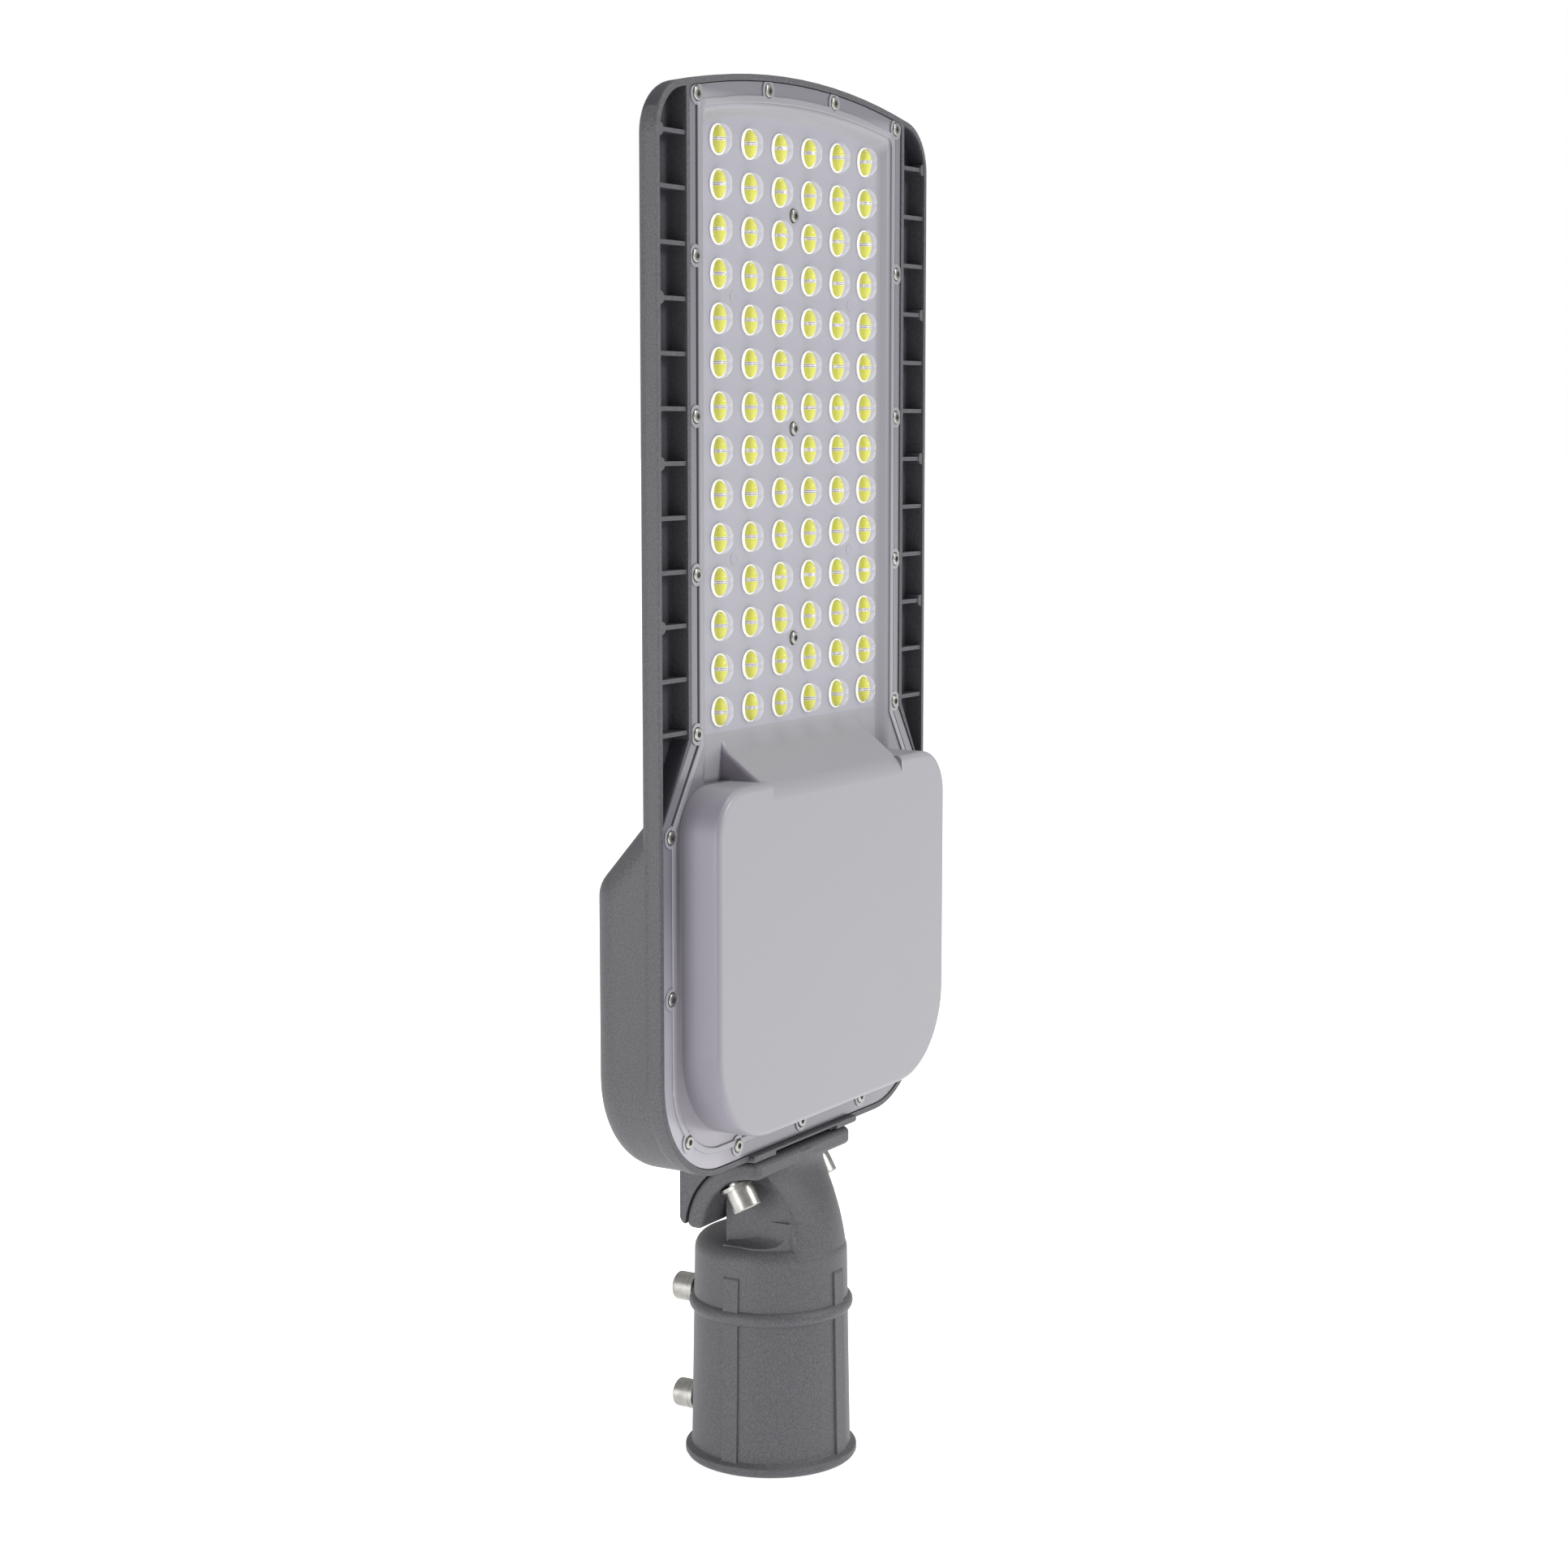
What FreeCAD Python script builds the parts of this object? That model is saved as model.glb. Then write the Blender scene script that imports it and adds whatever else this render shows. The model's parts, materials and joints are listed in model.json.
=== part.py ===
"""LED street luminaire head with a tilting pole adapter.

Frame: millimetres, +Z up along the pole socket, the light-giving face towards -Y, +X to the right.
The origin is the centre of the socket's mouth, where the pole enters.
"""
import math
import os

import FreeCAD, Part
from FreeCAD import Vector

os.makedirs("parts", exist_ok=True)

# ---------------------------------------------------------------- driving dimensions, in mm
# head casting
HEAD_HALF = 113.8
HEAD_TOP = 603.2
HEAD_BOTTOM = 144.4
ARCH_R = 490.0
TOP_CORNER_R = 22.0
BOTTOM_CORNER_R = 46.0
RIM_FRONT = -15.7
TRAY_BACK = -5.2
TRAY_EDGE_R = 5.5
RAIL_WALL = 2.6
CHANNEL_FLOOR = -7.5
PANEL_HALF = 91.6
PANEL_WALL = 2.5
FLARE_TOP = 331.0
FLARE_BOTTOM = 298.0
LEDGE = -12.2
PLATFORM = -6.9
RIB_COUNT = 12
RIB_TOP = 573.6
RIB_PITCH = 21.8
RIB_WALL = 1.8
RIB_FRONT = -15.0
RIB_PAD_R = 2.6

# driver compartment behind the lower half
BOX_BACK = 20.5
BOX_TOP = 303.0
BOX_EDGE_R = 13.0
BOX_INSET = 0.7
BOX_WALL = 3.0
BOX_SLOPE_RUN = 32.0
REAR_ROOM_FRONT = -4.4
CAVITY_FLOOR = HEAD_BOTTOM + BOX_INSET + BOX_WALL
WALL_FRONT = BOX_BACK - BOX_WALL

# heat sink on the back of the upper half
SINK_HALF = 76.0
SINK_TOP = 578.0
SINK_BOTTOM = 336.0
SINK_BASE = -3.2
FIN_TIP = 8.0
FIN_WALL = 2.2
FIN_COUNT = 11

# optics and light engine
LED_COLUMNS = 6
LED_ROWS = 14
LED_DX = 24.6
LED_DZ = 18.0
LED_TOP = 573.6
LENS_R = 6.8
LENS_RISE = 5.4
PLATE_HALF = 72.5
PLATE_TOP = 585.6
PLATE_BOTTOM = 331.0
PLATE_FRONT = -11.4
PLATE_BACK = -9.4
PLATE_CORNER_R = 4.0
PLATE_ARCH_R = 473.0
BOARD_HALF = 70.5
BOARD_T = 1.5
BOARD_BOTTOM = 329.0
CHIP_SIZE = 3.0
CHIP_T = 0.8
CENTRE_SCREW_Z = [LED_TOP - LED_DZ * step for step in (1.5, 6.5, 11.5)]

# moulded front cover
COVER_GAP = 0.4
COVER_FRONT = -15.2
COVER_T = 3.0
COVER_CORNER_R = 4.0
BEAD_OUT_UP = 5.6
BEAD_OUT_LOW = 6.2
BEAD_W = 3.1
BEAD_RISE = 0.7
GROOVE_W = 1.1
GROOVE_D = 0.9
GROOVE_LOW = 297.0
GROOVE_HIGH = 586.0
GROOVE_INNER = 74.0
STEP_HALF = 80.0
STEP_TOP = 591.4
STEP_CURVE = [(0.0, -15.2), (1.1, -15.05), (2.4, -14.5), (5.1, -12.5), (6.4, -11.7), (7.5, -11.4)]
STEP_TOP_SHARE = 0.77
BULGE_HALF = 98.8
BULGE_TOP = 310.8
BULGE_BOTTOM = 161.4
BULGE_FRONT = -34.8
BULGE_WALL = 2.5
BULGE_EDGE_R = 2.6
BULGE_TOP_R = 20.0
BULGE_BOTTOM_R = 40.0
RAMP_HALF = 60.0
RAMP_DRAFT = 0.06
RAMP_PROFILE = [(-34.8, 285.0, 0), (-34.8, 307.6, 9.0), (-11.4, 325.0, 9.0), (-11.4, 330.9, 0)]
RAMP_EDGE_R = 2.2
RAMP_WALL = 2.2
BOSS_R = 4.6
BOSS_RISE = 0.5

# cover screws: half of them, mirrored in X where x is not zero
SCREW_SPOTS = [(83.6, 589.6), (27.7, 595.8), (84.8, 525.6), (84.8, 461.6), (84.8, 397.6), (84.8, 332.4),
               (105.4, 292.0), (105.2, 225.4), (92.6, 163.2), (53.7, 153.4), (0.0, 153.2)]
SCREW_HEAD_R = 2.8
SCREW_HEAD_H = 1.9
SCREW_R = 1.5
SCREW_LENGTH = 8.5
SCREW_HOLE_R = 1.9

# pressure vent
VENT_Z = 200.0
VENT_STEM_R = 6.0
VENT_CAP_R = 9.0

# tilting saddle
PIVOT_Y = -15.0
PIVOT_Z = 108.5
SADDLE_R = 34.2
SEAT_R = 34.5
SADDLE_T = 8.0
SADDLE_HALF = 41.0
SADDLE_LOW_DEG = 2.0
SADDLE_FRONT = -18.3
SADDLE_EDGE_R = 3.0
SEAT_HALF = 41.0
LUG_BACK = 22.0
LUG_BOTTOM = 111.2
LUG_CORNER_R = 3.5
LIP_HALF = 45.0
LIP_FRONT = -18.6
LIP_LOW = 143.9
LIP_HIGH = 147.0
NOTCH_HALF = 26.9
NOTCH_TOP = 145.8
BOLT_X = 33.2
BOLT_DEG = 60.0
BOLT_R = 4.0
BOLT_SLOT_R = 4.5
TILT_BACK_DEG = 10.0
TILT_FRONT_DEG = 15.0
BOLT_TIP_R = 45.0
HEAD_CAP_R = 6.5
HEAD_CAP_H = 8.0
HEX_AF = 6.0
HEX_DEEP = 4.0
CABLE_HOLE_R = 6.5
CABLE_Y = 4.6
SEAL_W = 2.4
BOLT_BOSS_R = 7.5

# pole socket
SOCKET_R = 30.5
SOCKET_DEEP = 86.0
TUBE_R_LOW = 35.6
TUBE_R_TOP = 33.9
TUBE_TOP = 101.0
SHOULDER_R = 7.0
FOOT_R = 38.4
FOOT_H = 5.2
BEAD_Z = 70.0
BEAD_HALF = 3.6
RIB_HALF = 3.8
RIB_PROUD = 0.9
NECK_HALF = 20.3
NECK_BACK_HALF = 25.0
NECK_TOP_HALF = 25.0
NECK_BACK = 8.0
NECK_SECTIONS = [(86.0, 34.1, 34.1), (92.0, 33.9, 33.8), (97.0, 33.7, 33.2), (102.0, 33.5, 32.2),
                 (107.0, 33.3, 30.9), (114.6, 33.1, 28.2), (122.0, 33.0, 24.6), (129.0, 33.0, 20.5),
                 (134.0, 33.0, 18.6), (143.0, 33.0, 18.2)]
NECK_HOLE_HALF = 13.0
WINDOW_LOW_DEG = 38.0
WINDOW_HIGH_DEG = 87.0
POLE_SCREW_Z = (18.6, 68.8)
CLAMP_BOSS_R = 8.0
CLAMP_BOSS_Y = 36.2
WASHER_Y = 38.6
SPRING_WASHER_T = 2.2
POLE_SCREW_LENGTH = 9.8
FLAT_WASHER_TOP_R = 24.9
FLAT_WASHER_T = 1.6
FLAT_WASHER_R = 7.6
THREAD_CLEAR = 0.05
HOLE_CLEAR = 0.02

# electrical gear inside the head
DRIVER_HALF = 68.0
DRIVER_LOW = 222.0
DRIVER_HIGH = 284.0
DRIVER_FRONT = -27.0
DRIVER_BACK = 5.6
EAR_T = 1.5
TERMINAL_X = (-62.0, -22.0)
TERMINAL_Z = (176.0, 194.0)
SURGE_X = (18.0, 62.0)
SURGE_Z = (172.0, 202.0)
GLAND_PAD_R = 10.4
GLAND_SEAT = CAVITY_FLOOR + 2.0
GLAND_AF = 17.0
NUT_AF = 16.0
GLAND_NECK_R = 6.5
INSERT_R = 4.4
INSERT_TOP = GLAND_SEAT + 12.6
INLET_PITCH = 2.9


# ---------------------------------------------------------------- helpers
def box(x0, x1, y0, y1, z0, z1):
    return Part.makeBox(x1 - x0, y1 - y0, z1 - z0, Vector(x0, y0, z0))


def cyl_y(x, z, radius, y0, y1):
    return Part.makeCylinder(radius, y1 - y0, Vector(x, y0, z), Vector(0, 1, 0))


def cyl_z(x, y, radius, z0, z1):
    return Part.makeCylinder(radius, z1 - z0, Vector(x, y, z0), Vector(0, 0, 1))


def cyl_x(y, z, radius, half):
    return Part.makeCylinder(radius, 2 * half, Vector(-half, y, z), Vector(1, 0, 0))


def mirror_x(shape):
    return shape.mirror(Vector(0, 0, 0), Vector(1, 0, 0))


def both_sides(shape):
    return [shape, mirror_x(shape)]


def fuse(shapes):
    joined = shapes[0].multiFuse(shapes[1:]) if len(shapes) > 1 else shapes[0]
    return joined.removeSplitter()


def save(name, shapes):
    solids = []
    for shape in shapes if isinstance(shapes, list) else [shapes]:
        solids += shape.Solids
    shape = solids[0] if len(solids) == 1 else Part.makeCompound(solids)
    volume = sum(solid.Volume for solid in solids)
    valid = all(solid.isValid() for solid in solids)
    shape.exportStep("parts/%s.step" % name)
    print("%-24s solids %3d  volume %10.1f mm3  valid %s" % (name, len(solids), volume, valid))


def arc(a, middle, b):
    return Part.Arc(a, middle, b).toShape()


def rounded_prism(points, axis_vector):
    """Prism over a closed outline of (point, corner radius) pairs."""
    edges = []
    count = len(points)
    starts, ends = [], []
    for index in range(count):
        here, radius = points[index]
        back = (points[index - 1][0] - here).normalize()
        ahead = (points[(index + 1) % count][0] - here).normalize()
        if radius <= 0:
            starts.append(here)
            ends.append(here)
            continue
        half = math.acos(max(-1.0, min(1.0, back.dot(ahead)))) / 2
        reach = radius / math.tan(half)
        first, last = here + back * reach, here + ahead * reach
        centre = here + (back + ahead).normalize() * (radius / math.sin(half))
        middle = centre + (here - centre).normalize() * radius
        edges.append(arc(first, middle, last))
        starts.append(first)
        ends.append(last)
    for index in range(count):
        a, b = ends[index], starts[(index + 1) % count]
        if (b - a).Length > 1e-6:
            edges.append(Part.makeLine(a, b))
    wire = Part.Wire(Part.__sortEdges__(edges))
    return Part.Face(wire).extrude(axis_vector)


def in_xz(pairs, y0, y1):
    """Prism along Y over an outline given as (x, z, radius)."""
    return rounded_prism([(Vector(x, y0, z), radius) for x, z, radius in pairs], Vector(0, y1 - y0, 0))


def in_yz(pairs, half):
    """Prism along X, centred, over an outline given as (y, z, radius)."""
    return rounded_prism([(Vector(-half, y, z), radius) for y, z, radius in pairs], Vector(2 * half, 0, 0))


def arched_outline(half_up, half_low, top, bottom, top_r, bottom_r, y, arch_r=ARCH_R, flare=None):
    """Outline at one depth: arched top, straight sides with an optional flare, round bottom corners."""
    arch_z = top - arch_r
    corner_z = arch_z + math.sqrt((arch_r - top_r) ** 2 - (half_up - top_r) ** 2)
    corner = Vector(half_up - top_r, y, corner_z)
    arch_centre = Vector(0, y, arch_z)
    on_arch = arch_centre + (corner - arch_centre).normalize() * arch_r
    on_side = Vector(half_up, y, corner_z)
    bulge = ((on_arch - corner).normalize() + Vector(1, 0, 0)).normalize()
    side = [on_side]
    if flare:
        side += [Vector(half_up, y, flare[0]), Vector(half_low, y, flare[1])]
    side.append(Vector(half_low, y, bottom + bottom_r))
    foot = Vector(half_low - bottom_r, y, bottom)
    diagonal = math.sqrt(0.5) * bottom_r
    belly = Vector(half_low - bottom_r + diagonal, y, bottom + bottom_r - diagonal)

    def left(point):
        return Vector(-point.x, point.y, point.z)

    edges = [arc(left(on_arch), Vector(0, y, top), on_arch)]
    edges.append(arc(on_arch, corner + bulge * top_r, on_side))
    edges.append(arc(left(on_arch), left(corner + bulge * top_r), left(on_side)))
    for a, b in zip(side, side[1:]):
        edges.append(Part.makeLine(a, b))
        edges.append(Part.makeLine(left(a), left(b)))
    edges.append(arc(side[-1], belly, foot))
    edges.append(arc(left(side[-1]), left(belly), left(foot)))
    edges.append(Part.makeLine(foot, left(foot)))
    return Part.Wire(Part.__sortEdges__(edges))


def arched_prism(half_up, half_low, top, bottom, top_r, bottom_r, y0, y1, arch_r=ARCH_R, flare=None):
    """Prism along Y over an arched outline."""
    wire = arched_outline(half_up, half_low, top, bottom, top_r, bottom_r, y0, arch_r, flare)
    return Part.Face(wire).extrude(Vector(0, y1 - y0, 0))


def head_prism(inset, y0, y1):
    return arched_prism(HEAD_HALF - inset, HEAD_HALF - inset, HEAD_TOP - inset, HEAD_BOTTOM + inset,
                        TOP_CORNER_R - inset, BOTTOM_CORNER_R - inset, y0, y1, ARCH_R - inset)


def cover_prism(inset_up, inset_low, y0, y1, corner=COVER_CORNER_R):
    """The front cover's outline, drawn in by a distance that may differ above and below the flare."""
    half_up = PANEL_HALF - PANEL_WALL - COVER_GAP - inset_up
    half_low = HEAD_HALF - RAIL_WALL - COVER_GAP - inset_low
    shift = 0.27 * inset_up
    return arched_prism(half_up, half_low, HEAD_TOP - RAIL_WALL - COVER_GAP - inset_up,
                        HEAD_BOTTOM + RAIL_WALL + COVER_GAP + inset_low, corner,
                        BOTTOM_CORNER_R - RAIL_WALL - COVER_GAP - inset_low, y0, y1,
                        ARCH_R - RAIL_WALL - COVER_GAP - inset_up,
                        (FLARE_TOP - 1.0 - shift, FLARE_BOTTOM - 1.0 - 0.27 * inset_low))


def screw_places():
    places = []
    for x, z in SCREW_SPOTS:
        places.append((x, z))
        if x > 0:
            places.append((-x, z))
    return places


def led_places():
    for column in range(LED_COLUMNS):
        for row in range(LED_ROWS):
            yield (column - (LED_COLUMNS - 1) / 2) * LED_DX, LED_TOP - row * LED_DZ


def hexagon_y(x, z, across, y0, y1):
    corners = []
    for step in range(7):
        turn = math.radians(60 * step)
        radius = across / math.sqrt(3)
        corners.append(Vector(x + radius * math.cos(turn), y0, z + radius * math.sin(turn)))
    return Part.Face(Part.makePolygon(corners)).extrude(Vector(0, y1 - y0, 0))


def saddle_point(radius, degrees, x=0.0):
    turn = math.radians(degrees)
    return Vector(x, PIVOT_Y + radius * math.cos(turn), PIVOT_Z + radius * math.sin(turn))


def saddle_sector(inner, outer, low, high, x0, x1):
    """Part of a ring about the tilt axis, between two angles."""
    mid = (low + high) / 2
    edges = [arc(saddle_point(outer, low, x0), saddle_point(outer, mid, x0), saddle_point(outer, high, x0))]
    edges.append(arc(saddle_point(inner, low, x0), saddle_point(inner, mid, x0), saddle_point(inner, high, x0)))
    edges.append(Part.makeLine(saddle_point(inner, low, x0), saddle_point(outer, low, x0)))
    edges.append(Part.makeLine(saddle_point(inner, high, x0), saddle_point(outer, high, x0)))
    wire = Part.Wire(Part.__sortEdges__(edges))
    return Part.Face(wire).extrude(Vector(x1 - x0, 0, 0))


def along_bolt(shape_z, x):
    """Turns a shape drawn along +Z from the tilt axis to point along a tilt bolt."""
    turned = shape_z.copy()
    turned.rotate(Vector(0, 0, 0), Vector(1, 0, 0), BOLT_DEG - 90)
    turned.translate(Vector(x, PIVOT_Y, PIVOT_Z))
    return turned


# ---------------------------------------------------------------- head casting
def side_channels():
    """The two ribbed channels beside the light panel, open to the front."""
    field = head_prism(RAIL_WALL, RIM_FRONT - 1, CHANNEL_FLOOR)
    panel = arched_prism(PANEL_HALF, HEAD_HALF, HEAD_TOP + 30, HEAD_BOTTOM - 30, 8.0, 8.0,
                         RIM_FRONT - 2, CHANNEL_FLOOR + 1, ARCH_R, (FLARE_TOP, FLARE_BOTTOM - 5))
    channels = field.cut(panel)
    ribs = []
    for index in range(RIB_COUNT):
        z = RIB_TOP - index * RIB_PITCH
        ribs.append(box(-HEAD_HALF, HEAD_HALF, RIB_FRONT, CHANNEL_FLOOR, z - RIB_WALL / 2, z + RIB_WALL / 2))
        if index % 3 == 0:
            pad = cyl_y(HEAD_HALF - RAIL_WALL - 0.6, z, RIB_PAD_R, RIB_FRONT - 0.4, CHANNEL_FLOOR)
            ribs += both_sides(pad)
    return channels.cut(Part.makeCompound(ribs))


def tray():
    """Shallow front tray that carries the light panel, with rounded back edges."""
    body = head_prism(0, RIM_FRONT, TRAY_BACK)
    back = [edge for edge in body.Edges if abs(edge.BoundBox.YMin - TRAY_BACK) < 1e-4
            and abs(edge.BoundBox.YMax - TRAY_BACK) < 1e-4]
    body = body.makeFillet(TRAY_EDGE_R, back)
    front = [edge for edge in body.Edges if abs(edge.BoundBox.YMin - RIM_FRONT) < 1e-4
             and abs(edge.BoundBox.YMax - RIM_FRONT) < 1e-4]
    return body.makeFillet(0.6, front)


def driver_box():
    """Deep compartment on the back of the lower half, with a sloped top."""
    prism = head_prism(BOX_INSET, TRAY_BACK - 6, BOX_BACK)
    reach = HEAD_HALF + 5
    side = in_yz([(TRAY_BACK - 6, HEAD_BOTTOM - 10, 0), (BOX_BACK, HEAD_BOTTOM - 10, 0),
                  (BOX_BACK, BOX_TOP - BOX_SLOPE_RUN, 14.0), (TRAY_BACK - 2.2, BOX_TOP, 0),
                  (TRAY_BACK - 6, BOX_TOP, 0)], reach)
    body = prism.common(side)
    back = [edge for edge in body.Edges if edge.BoundBox.YMin > BOX_BACK - 0.01]
    return body.makeFillet(BOX_EDGE_R, back)


def box_cavity():
    """Room for the driver, open to the front."""
    inset = BOX_INSET + BOX_WALL
    prism = head_prism(inset, RIM_FRONT + 1, BOX_BACK - BOX_WALL)
    side = in_yz([(RIM_FRONT, HEAD_BOTTOM - 10, 0), (BOX_BACK - BOX_WALL, HEAD_BOTTOM - 10, 0),
                  (BOX_BACK - BOX_WALL, BOX_TOP - BOX_SLOPE_RUN - 3, 10.0), (PLATFORM, BOX_TOP - 6, 0),
                  (RIM_FRONT, BOX_TOP - 6, 0)], HEAD_HALF)
    room = prism.common(side)
    back = [edge for edge in room.Edges if edge.BoundBox.YMin > WALL_FRONT - 0.01]
    return room.makeFillet(BOX_EDGE_R - BOX_WALL, back)


def heat_sink():
    base = in_xz([(-SINK_HALF - 4, SINK_BOTTOM, 6), (SINK_HALF + 4, SINK_BOTTOM, 6),
                  (SINK_HALF + 4, SINK_TOP, 14), (-SINK_HALF - 4, SINK_TOP, 14)], TRAY_BACK - 1, SINK_BASE)
    fins = []
    for index in range(FIN_COUNT):
        x = -SINK_HALF + 2 * SINK_HALF * index / (FIN_COUNT - 1)
        top = SINK_TOP - 6 - 10 * (x / SINK_HALF) ** 2
        outline = [(x, SINK_BASE - 1, SINK_BOTTOM + 2), (x, FIN_TIP, SINK_BOTTOM + 10),
                   (x, FIN_TIP, top - 14), (x, SINK_BASE - 1, top)]
        points = [(Vector(x - FIN_WALL / 2, y, z), 3.0 if y > 0 else 0) for x, y, z in outline]
        fins.append(rounded_prism(points, Vector(FIN_WALL, 0, 0)))
    return [base] + fins


def seat_block():
    """Concave seat and lugs under the head, in which the adapter's saddle turns, with a lip in front."""
    block = in_yz([(PIVOT_Y, HEAD_BOTTOM - 2, 0), (PIVOT_Y, 150, 0), (LUG_BACK, 160, 0),
                   (LUG_BACK, LUG_BOTTOM, LUG_CORNER_R), (10, LUG_BOTTOM, 0), (PIVOT_Y, 139, 0)], SEAT_HALF)
    slope = in_yz([(8, 150, 0), (LUG_BACK, 150, 0), (BOX_BACK - 0.4, 172, 0), (8, 172, 0)], SEAT_HALF)
    lip = in_xz([(-LIP_HALF, LIP_LOW, 1.2), (LIP_HALF, LIP_LOW, 1.2), (LIP_HALF, LIP_HIGH, 1.2),
                 (-LIP_HALF, LIP_HIGH, 1.2)], LIP_FRONT, LEDGE)
    front = [edge for edge in lip.Edges if edge.BoundBox.YMax < LIP_FRONT + 1e-3]
    return [block, slope, lip.makeFillet(0.6, front)]


def room_bosses(room):
    """Thick spots on the compartment's floor: round the tilt bolts' blind holes and under the cable gland."""
    bosses = [cyl_z(0, CABLE_Y, GLAND_PAD_R, CAVITY_FLOOR - 1, GLAND_SEAT)]
    for x in (-BOLT_X, BOLT_X):
        boss = along_bolt(Part.makeCylinder(BOLT_BOSS_R, BOLT_TIP_R + 3.5), x)
        bosses.append(boss.common(box(-HEAD_HALF, HEAD_HALF, -12, WALL_FRONT, CAVITY_FLOOR - 1, BOX_TOP)))
    return [boss.common(room) for boss in bosses]


def housing():
    parts = [tray(), driver_box()] + heat_sink() + seat_block()
    body = fuse(parts)
    # the pocket that the cover and the light engine sit in
    body = body.cut(cover_prism(-COVER_GAP, -COVER_GAP, RIM_FRONT - 2, LEDGE))
    well_up = BEAD_OUT_UP + BEAD_W - 0.4
    well_low = BEAD_OUT_LOW + BEAD_W + 0.2
    well = cover_prism(well_up, well_low, LEDGE - 1, PLATFORM, 4.0)
    body = body.cut(well)
    room = box_cavity()
    body = body.cut(room.common(cover_prism(well_up, well_low, RIM_FRONT, BOX_BACK, 4.0)))
    body = body.cut(room.common(box(-HEAD_HALF, HEAD_HALF, REAR_ROOM_FRONT, BOX_BACK, HEAD_BOTTOM, BOX_TOP)))
    body = body.fuse(room_bosses(room))
    body = body.cut(side_channels())
    # seat of the tilting saddle, its relief and the holes through it
    body = body.cut(cyl_x(PIVOT_Y, PIVOT_Z, SEAT_R, HEAD_HALF))
    body = body.cut(box(-NOTCH_HALF, NOTCH_HALF, LIP_FRONT - 1, -9, 138, NOTCH_TOP))
    body = body.cut(cyl_z(0, CABLE_Y, CABLE_HOLE_R, PIVOT_Z, GLAND_SEAT + 1))
    body = body.cut(seal_ring(0.0))
    for x in (-BOLT_X, BOLT_X):
        hole = along_bolt(Part.makeCylinder(BOLT_R + HOLE_CLEAR, BOLT_TIP_R + 0.5), x)
        body = body.cut(hole)
    gasket = gasket_ring(0.0)
    body = body.cut(gasket)
    for x, z in screw_places():
        body = body.cut(cyl_y(x, z, SCREW_R + HOLE_CLEAR, LEDGE - 1, COVER_FRONT + SCREW_LENGTH + 0.3))
    for z in CENTRE_SCREW_Z:
        body = body.cut(cyl_y(0, z, SCREW_R + HOLE_CLEAR, PLATFORM - 1, SINK_BASE - 0.4))
    for x, y, z in vent_places():
        body = body.cut(cyl_y(x, z, VENT_STEM_R + HOLE_CLEAR, y - 6, y + 6))
    bosses = []
    for x, z in driver_bosses():
        boss = cyl_y(x, z, 4.0, DRIVER_BACK, WALL_FRONT + 0.5)
        bosses.append(boss.cut(cyl_y(x, z, SCREW_R + HOLE_CLEAR, DRIVER_BACK - 1, WALL_FRONT - 0.5)))
    return body.fuse(bosses).removeSplitter()


def vent_places():
    return [(0.0, BOX_BACK - BOX_WALL / 2, VENT_Z)]


# ---------------------------------------------------------------- seals
def gasket_ring(clear):
    """Rubber strip under the cover's bead."""
    up, low = BEAD_OUT_UP + 0.4, BEAD_OUT_LOW + 0.4
    width = BEAD_W - 1.5
    outer = cover_prism(up + clear, low + clear, LEDGE, LEDGE + 2.0, 4.0)
    inner = cover_prism(up + width - clear, low + width - clear, LEDGE - 1, LEDGE + 3.0, 4.0)
    return outer.cut(inner)


def cover_gasket():
    """The strip with holes where the cover screws pass through it."""
    holes = [cyl_y(x, z, SCREW_R + 0.3, LEDGE - 1, LEDGE + 3) for x, z in screw_places()]
    return gasket_ring(HOLE_CLEAR).cut(Part.makeCompound(holes))


def seal_ring(clear):
    """Oval rubber seal round the cable hole, let into the seat."""
    outer = in_xz([(-16, -12, 9), (16, -12, 9), (16, 12, 9), (-16, 12, 9)], 0, 8)
    inner = in_xz([(-16 + SEAL_W, -12 + SEAL_W, 9 - SEAL_W), (16 - SEAL_W, -12 + SEAL_W, 9 - SEAL_W),
                   (16 - SEAL_W, 12 - SEAL_W, 9 - SEAL_W), (-16 + SEAL_W, 12 - SEAL_W, 9 - SEAL_W)], -1, 9)
    ring = outer.cut(inner)
    tilt = math.degrees(math.acos((CABLE_Y - PIVOT_Y) / SEAT_R))
    ring.rotate(Vector(0, 0, 0), Vector(1, 0, 0), tilt)
    foot = saddle_point(SEAT_R - 6.0, tilt)
    ring.translate(foot)
    shell = cyl_x(PIVOT_Y, PIVOT_Z, SEAT_R + 1.8 - clear, 30).cut(cyl_x(PIVOT_Y, PIVOT_Z, SEAT_R, 31))
    return ring.common(shell)


# ---------------------------------------------------------------- front cover and optics
def step_outline(inset, y):
    """Outline of the recess round the light panel, drawn in as it goes deeper."""
    half = STEP_HALF - inset
    top = STEP_TOP - STEP_TOP_SHARE * inset
    return arched_outline(half, half, top, BULGE_TOP - 12, PLATE_CORNER_R + 0.5, 2.0, y, PLATE_ARCH_R)


def recess():
    """Cutter for the recess, with an S-shaped wall down to the light panel's level."""
    first = Part.Face(step_outline(0, COVER_FRONT - 6)).extrude(Vector(0, 6, 0))
    layers = [first]
    for (inset_a, y_a), (inset_b, y_b) in zip(STEP_CURVE, STEP_CURVE[1:]):
        layers.append(Part.makeLoft([step_outline(inset_a, y_a), step_outline(inset_b, y_b)], True, True))
    return fuse(layers)


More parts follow.
